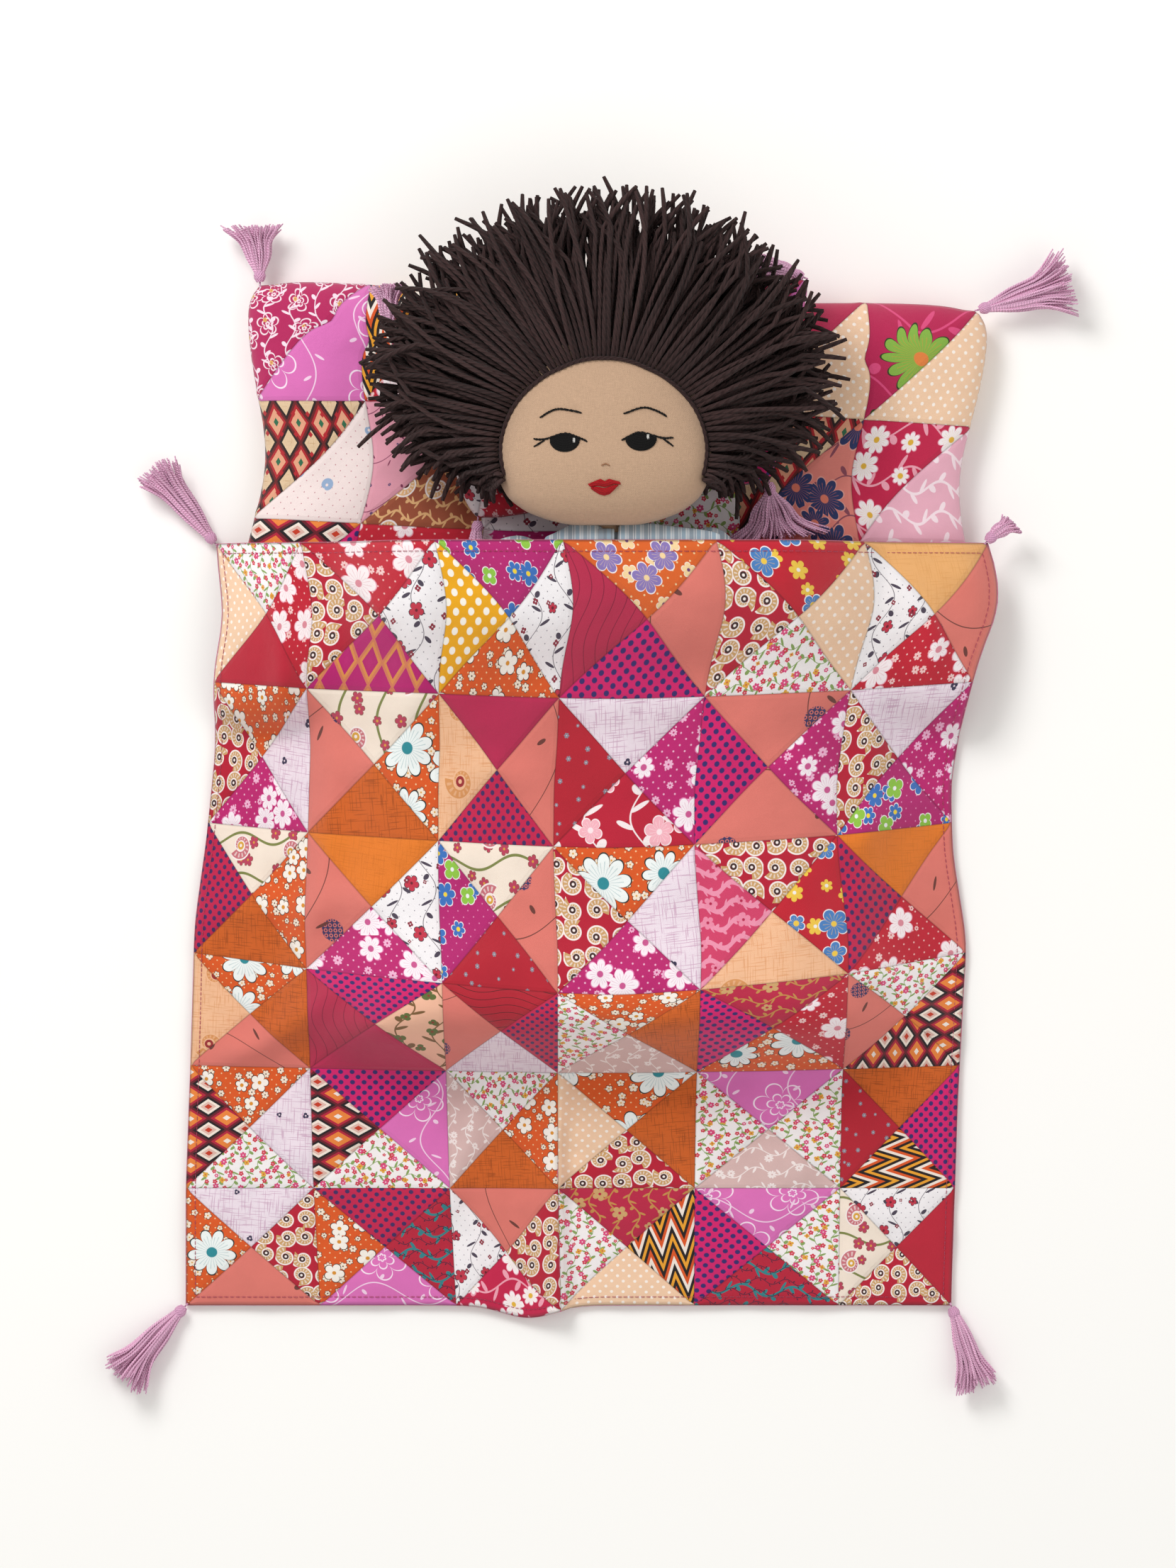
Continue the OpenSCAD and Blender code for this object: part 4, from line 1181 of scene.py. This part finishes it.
wig = {"reach": 145.0, "half": 112.0, "rows": 14, "yarn": 1.45, "steps": 13}
reachRun = [(0, 0.99), (60, 1.0), (74, 0.95), (86, 0.82), (93, 0.74), (103, 0.58), (112, 0.5)]
hairlineRun = [(0, 47), (30, 48), (50, 51), (70, 55), (90, 58), (104, 59), (112, 59)]
fanY = 190.0


def buildWig():
    chance = random.Random(11)
    lines, tints, girths = [], [], []
    back = head["mid"] - head["thick"] / 2
    for row in range(wig["rows"]):
        k = row / (wig["rows"] - 1)
        arc = 2 * math.radians(wig["half"]) * lerp(50, 62, k)
        count = int(arc / (2.4 if row == 0 else 3.1))
        for s in range(count):
            a = -wig["half"] + 2 * wig["half"] * (s + 0.5) / count + chance.uniform(-1.2,
                    1.2) * (0.3 if row == 0 else 1)
            start = lookup(abs(a), hairlineRun) + 0.8 + 5.5 * k * (1 - k) + 1.0 * k
            sx, sy = math.sin(math.radians(a)), math.cos(math.radians(a))
            front = faceZ(head["x"] + (start - 1) * sx, fanY + (start - 1) * sy) + 1.6
            z0 = lerp(front, back + 3, k)
            reach = wig["reach"] * lookup(abs(a), reachRun) * chance.uniform(0.84, 1.02)
            if chance.random() < 0.05:
                reach *= 1.06
            lift = lerp(5.5, 1.0, k) + chance.uniform(-1, 1)
            z1 = lerp(front - 26, back + 6, k) + chance.uniform(-7, 7)
            bend = chance.gauss(0, 4.5)
            curl = chance.gauss(0, 2.2)
            hook = chance.gauss(0, 3.5)
            tint = chance.uniform(0, 1)
            line = []
            for i in range(wig["steps"]):
                t = i / (wig["steps"] - 1)
                r = lerp(start, reach, t)
                turn = math.radians(a + bend * t * t + curl * math.sin(3 * t) * 0.4
                                    + hook * max(0, t - 0.75) * 4)
                crest = lift * math.sin(math.pi * min(1.0, t * 1.9))
                z = lerp(z0, z1, t ** 1.6) + crest * (1 if t < 0.53 else 0.6)
                if i == 0:
                    z -= 1.6
                p = at(head["x"] + r * math.sin(turn), fanY + r * math.cos(turn), max(z, back + 1.6))
                line.append(p)
            lines.append(line)
            tints += [tint] * wig["steps"]
            girths += [0.9] + [1.0] * (wig["steps"] - 2) + [0.75]
    print("strands of yarn:", len(lines))
    return lines, girths, tints


yarnPaint = pliedYarn("hair_wool", "#352322", 3, 5.5, 0.85, 0.5, 0.03)
wigLines, wigGirths, wigTints = buildWig()
wigPiece = threads("wig_yarn", wigLines, yarnPaint, wig["yarn"], 5, wigGirths, wigTints)
place(wigPiece, "head", "hair_yarn", "hair_yarn")


def buildWeft():
    # the couched yarn that holds the strands down along the hairline
    lines = []
    for k in range(50):
        pair = []
        for t in (0.0, 0.5, 1.0):
            a = math.radians(-108 + 216 * (k + t) / 50)
            r = lookup(abs(math.degrees(a)), hairlineRun) - 0.6
            x, y = head["x"] + r * math.sin(a), fanY + r * math.cos(a)
            pair.append(at(x, y, faceZ(x, y) + (1.5 if t == 0.5 else 0.4)))
        lines.append(pair)
    return lines


place(threads("wig_weft", buildWeft(), yarnPaint, 1.2, 6), "head", "hair_weft", "hair_weft")
print("wig sewn on")

# body, clothes and limbs

body = {"x": 12.0, "half": 35.0, "thick": 24.0}
stations = [(42.4, 27, 0.72, 0.62), (45, 27.5, 0.9, 0.84), (53, 29.5, 1, 0.96), (64, 37, 1, 1),
            (72, 44.5, 0.98, 1),
            (80, 52.5, 0.96, 1), (88, 60, 0.94, 1), (95, 64.5, 0.92, 1), (110, 69.6, 0.88, 0.98),
            (120, 70.8, 0.8, 0.92),
            (128, 70.8, 0.62, 0.78), (132, 71.2, 0.46, 0.62)]
stripes = stripedCloth("pyjama_stripes")


def torsoRings(low, high, grow):
    return [ringAt(body["x"], y, z, body["half"] * w + grow, body["thick"] * t + grow, 40, 2.4)
            for y, z, w, t in stations if low <= y <= high]


torsoPiece = soften(skinned("torso_cloth", torsoRings(0, 200, 0), skinPaint, puff=0.4))
place(torsoPiece, "torso", "skin_cotton", "torso_cover", "torso_filling")
shirt = skinned("pyjama_shirt_sewn", torsoRings(52, 129, 3.4), stripes, closed=False, puff=0.5, size=12)
soften(thicken(shirt, 0.0013))
place(shirt, "torso", "pyjama_cotton", "pyjama_shirt")
seat = skinned("pyjama_seat_sewn", torsoRings(44, 65, 1.5), stripes, closed=False)
thicken(seat, 0.0009)
place(seat, "torso", "pyjama_cotton", "pyjama_seat")
neckBall = {"at": (9, 139, 86), "radius": 14}
neckRings = []
for angle in (-86, -70, -50, -30, -10, 10, 30, 50, 70, 86):
    x, y, z = neckBall["at"]
    girth = neckBall["radius"] * math.cos(math.radians(angle))
    neckRings.append(ringAt(x, y + neckBall["radius"] * math.sin(math.radians(angle)), z, girth, girth, 32,
                            2))
neckPiece = skinned("neck_cloth", neckRings, skinPaint)
place(neckPiece, "neck", "skin_cotton", "neck")

collarRings = []
for y, z, w, t in ((143.0, 84, 19, 10.0), (142.0, 84, 20.5, 12), (138.5, 84, 23.6, 18.2),
                   (134, 81.5, 26.4, 21.9),
                   (130.5, 76, 30, 25.2), (126, 71.6, 33.4, 26.6)):
    collarRings.append(ringAt(body["x"] - 2, y, z, w, t, 40, 2.2))
collarStripes = stripedCloth("collar_stripes", 0, 8.5)
collar = skinned("collar_sewn", collarRings[::-1], collarStripes, closed=False, puff=0.4, size=9)
thicken(collar, 0.0012)
place(collar, "torso", "collar_cotton", "shirt_collar")
collarTop = [(108, 97.9), (126, 99.4), (131, 101.6), (135, 103.7), (138.5, 103.2), (142.6, 98.4), (146, 96)]


def clothStrip(name, rows, material, thickness=0.0011):
    # a strip of cloth from rows of places, each with the same number of them
    count = len(rows[0])
    faces = [(a, a + 1, a + count + 1, a + count)
             for k in range(len(rows) - 1) for a in range(k * count, k * count + count - 1)]
    strip = meshPiece(name, [at(*spot) for row in rows for spot in row], faces, [material])
    if sum(polygon.normal.z for polygon in strip.data.polygons) < 0:
        strip.data.flip_normals()
    return soften(thicken(strip, thickness, 1.0))


def collarPoint(side, wide):
    rows = []
    for i in range(13):
        t = i / 12
        x = 11 + side * lerp(4, wide, t)
        high = lerp(143.5, 138, t ** 1.5) + 3.2 * math.sin(math.pi * t) + 1.2 * math.sin(7 * t + side)
        low = lerp(124, 122, t)
        row = []
        for j in range(6):
            y = lerp(high, low, j / 5)
            rest = lookup(y, collarTop) - 12.5 * t ** 1.6 * ease((y - 118) / 8) * (0.75 if side > 0 else 1)
            row.append((x, y,
                        rest + 2.0 + 1.4 * math.sin(math.pi * j / 5) + 0.7 * math.sin(11 * t + 2 * side)))
        rows.append(row)
    return clothStrip("collar_point_" + ("left" if side > 0 else "right"), rows, collarStripes)


for side, wide in ((1, 62), (-1, 37)):
    place(collarPoint(side, wide), "torso", "collar_cotton")
placketRows = [[(x, y, lookup(y, collarTop) + 2.2 + 0.5 * math.sin((x - 3) * 0.28) * math.sin(y * 0.7))
                for x in (3, 5.5, 8, 10.5, 13.2)]
               for y in (141.8, 140.4, 138, 135, 131, 126, 120, 114, 108)]
placket = clothStrip("shirt_placket", placketRows, stripedCloth("placket_cotton", 0, 9.0, "#97a3ae"))
place(placket, "torso", "pyjama_cotton")


def buttonPaint():
    paint = Paint("button", 0.35, 0.0)
    x, y, _ = paint.place()
    return paint.finish(paint.shade(hexTone("#56606b"), paint.noise(x, y, 0.0, 2.5, 2.0) * 0.3 + 0.85))


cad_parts["shirt_buttons"].data.materials.clear()
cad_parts["shirt_buttons"].data.materials.append(buttonPaint())

limbs = {"shoulder": (54.2, 127, 75.5), "slope": 31.0, "hip": (20.1, 21, 18.4)}


def tube(name, spots, material, closed=True, puff=0.4, count=28, size=14):
    # spots: middle in mm, half width, half height, and the way that the tube runs there
    rings = []
    for (x, y, z), wide, high, run in spots:
        run = Vector(run).normalized()
        side = Vector((1, 0, 0))
        up = run.cross(side)
        ring = []
        for i in range(count):
            a = 2 * math.pi * i / count
            p = Vector((x, y, z)) + side * wide * math.cos(a) + up * high * math.sin(a)
            ring.append(at(*p))
        rings.append(ring)
    return skinned(name, rings, material, closed, puff, seed=spots[0][0][0], size=size)


def armSpots(side, rows):
    sx, sy, sz = limbs["shoulder"]
    slope = math.radians(limbs["slope"])
    run = (0, -math.cos(slope), -math.sin(slope))
    out = []
    for d, r, flat in rows:
        spot = (body["x"] + side * sx, sy + run[1] * d, sz + run[2] * d)
        out.append((spot, r, r * flat, run))
    return out


armRows = [(-12.6, 3.2, 1), (-11, 6.9, 1), (-8, 10.2, 1), (-4, 12.3, 1), (0, 13, 1), (12, 12.8, 1),
           (30, 12.1, 1), (50, 11.2, 1),
           (70, 10.3, 1), (84, 9.5, 0.95), (92, 9.9, 0.85), (100, 10, 0.8), (106, 8.6, 0.8), (110, 5.8, 0.8),
           (111.6, 2.6, 0.8)]
sleeveRows = [(-15.6, 0.3, 1), (-15.2, 2.6, 1), (-13.6, 7.4, 1), (-10, 11.6, 1), (-5, 14.4, 1), (0, 15.2, 1),
              (14, 15.1, 1), (34, 14.8, 1), (54, 14.3, 1),
              (70, 13.9, 1), (79, 13.8, 1), (82, 14.3, 1)]
for side, name in ((1, "left"), (-1, "right")):
    blunt = 1.0 if side > 0 else 0.6  # how far the shoulder stands up past its seam
    caps = [[(d * blunt if d < 0 else d, r, flat) for d, r, flat in rows] for rows in (armRows, sleeveRows)]
    arm = soften(tube(name + "_arm_cloth", armSpots(side, caps[0]), skinPaint))
    place(arm, name + "_arm", "skin_cotton", name + "_arm_cover", name + "_arm_filling")
    cuff = tube(name + "_sleeve_sewn", armSpots(side, caps[1]), stripes, False, 0.7, 32, 11)
    soften(thicken(cuff, 0.0012))
    place(cuff, name + "_arm", "pyjama_cotton", name + "_sleeve")

legRows = [(-15.4, 4), (-13.5, 8.4), (-9, 13.2), (-4, 15.6), (0, 16), (30, 15.6), (60, 14.9), (90, 14.1),
           (120, 13.0), (134, 12.4)]
footBend = [(142, 0.0, 12.6), (146, 5.0, 12.8), (147.5, 14, 12.6), (146.5, 24, 12.0), (145.2, 34, 10.8),
            (144.4, 41, 9.4), (144, 45.5, 6.6), (143.9, 48.4, 2.8)]
hemRows = [(-17.6, 0.4), (-17.3, 3), (-15.4, 8.6), (-11, 13.6), (-5, 16.9), (0, 17.5), (30, 17.4),
           (60, 17.0), (90, 16.7), (112, 16.5), (116, 16.8)]
for side, name in ((1, "left"), (-1, "right")):
    hx, hy, hz = limbs["hip"]
    x = body["x"] + side * hx
    spots = [((x, hy - d, hz), r, r, (0, -1, 0)) for d, r in legRows]
    for i, (d, up, r) in enumerate(footBend):
        bend = math.radians(lerp(20, 90, ease(i / 3)))
        spots.append(((x, hy - d, hz + up), r, r * 0.92, (0, -math.cos(bend), math.sin(bend))))
    leg = soften(tube(name + "_leg_cloth", spots, skinPaint))
    place(leg, name + "_leg", "skin_cotton", name + "_leg_cover", name + "_leg_filling")
    trouser = tube(name + "_trouser_sewn", [((x, hy - d, hz), r, r, (0, -1, 0)) for d, r in hemRows],
                   stripes, False, 0.6, 36, 13)
    soften(thicken(trouser, 0.0012))
    place(trouser, name + "_leg", "pyjama_cotton", name + "_trouser_leg")
print("doll dressed")
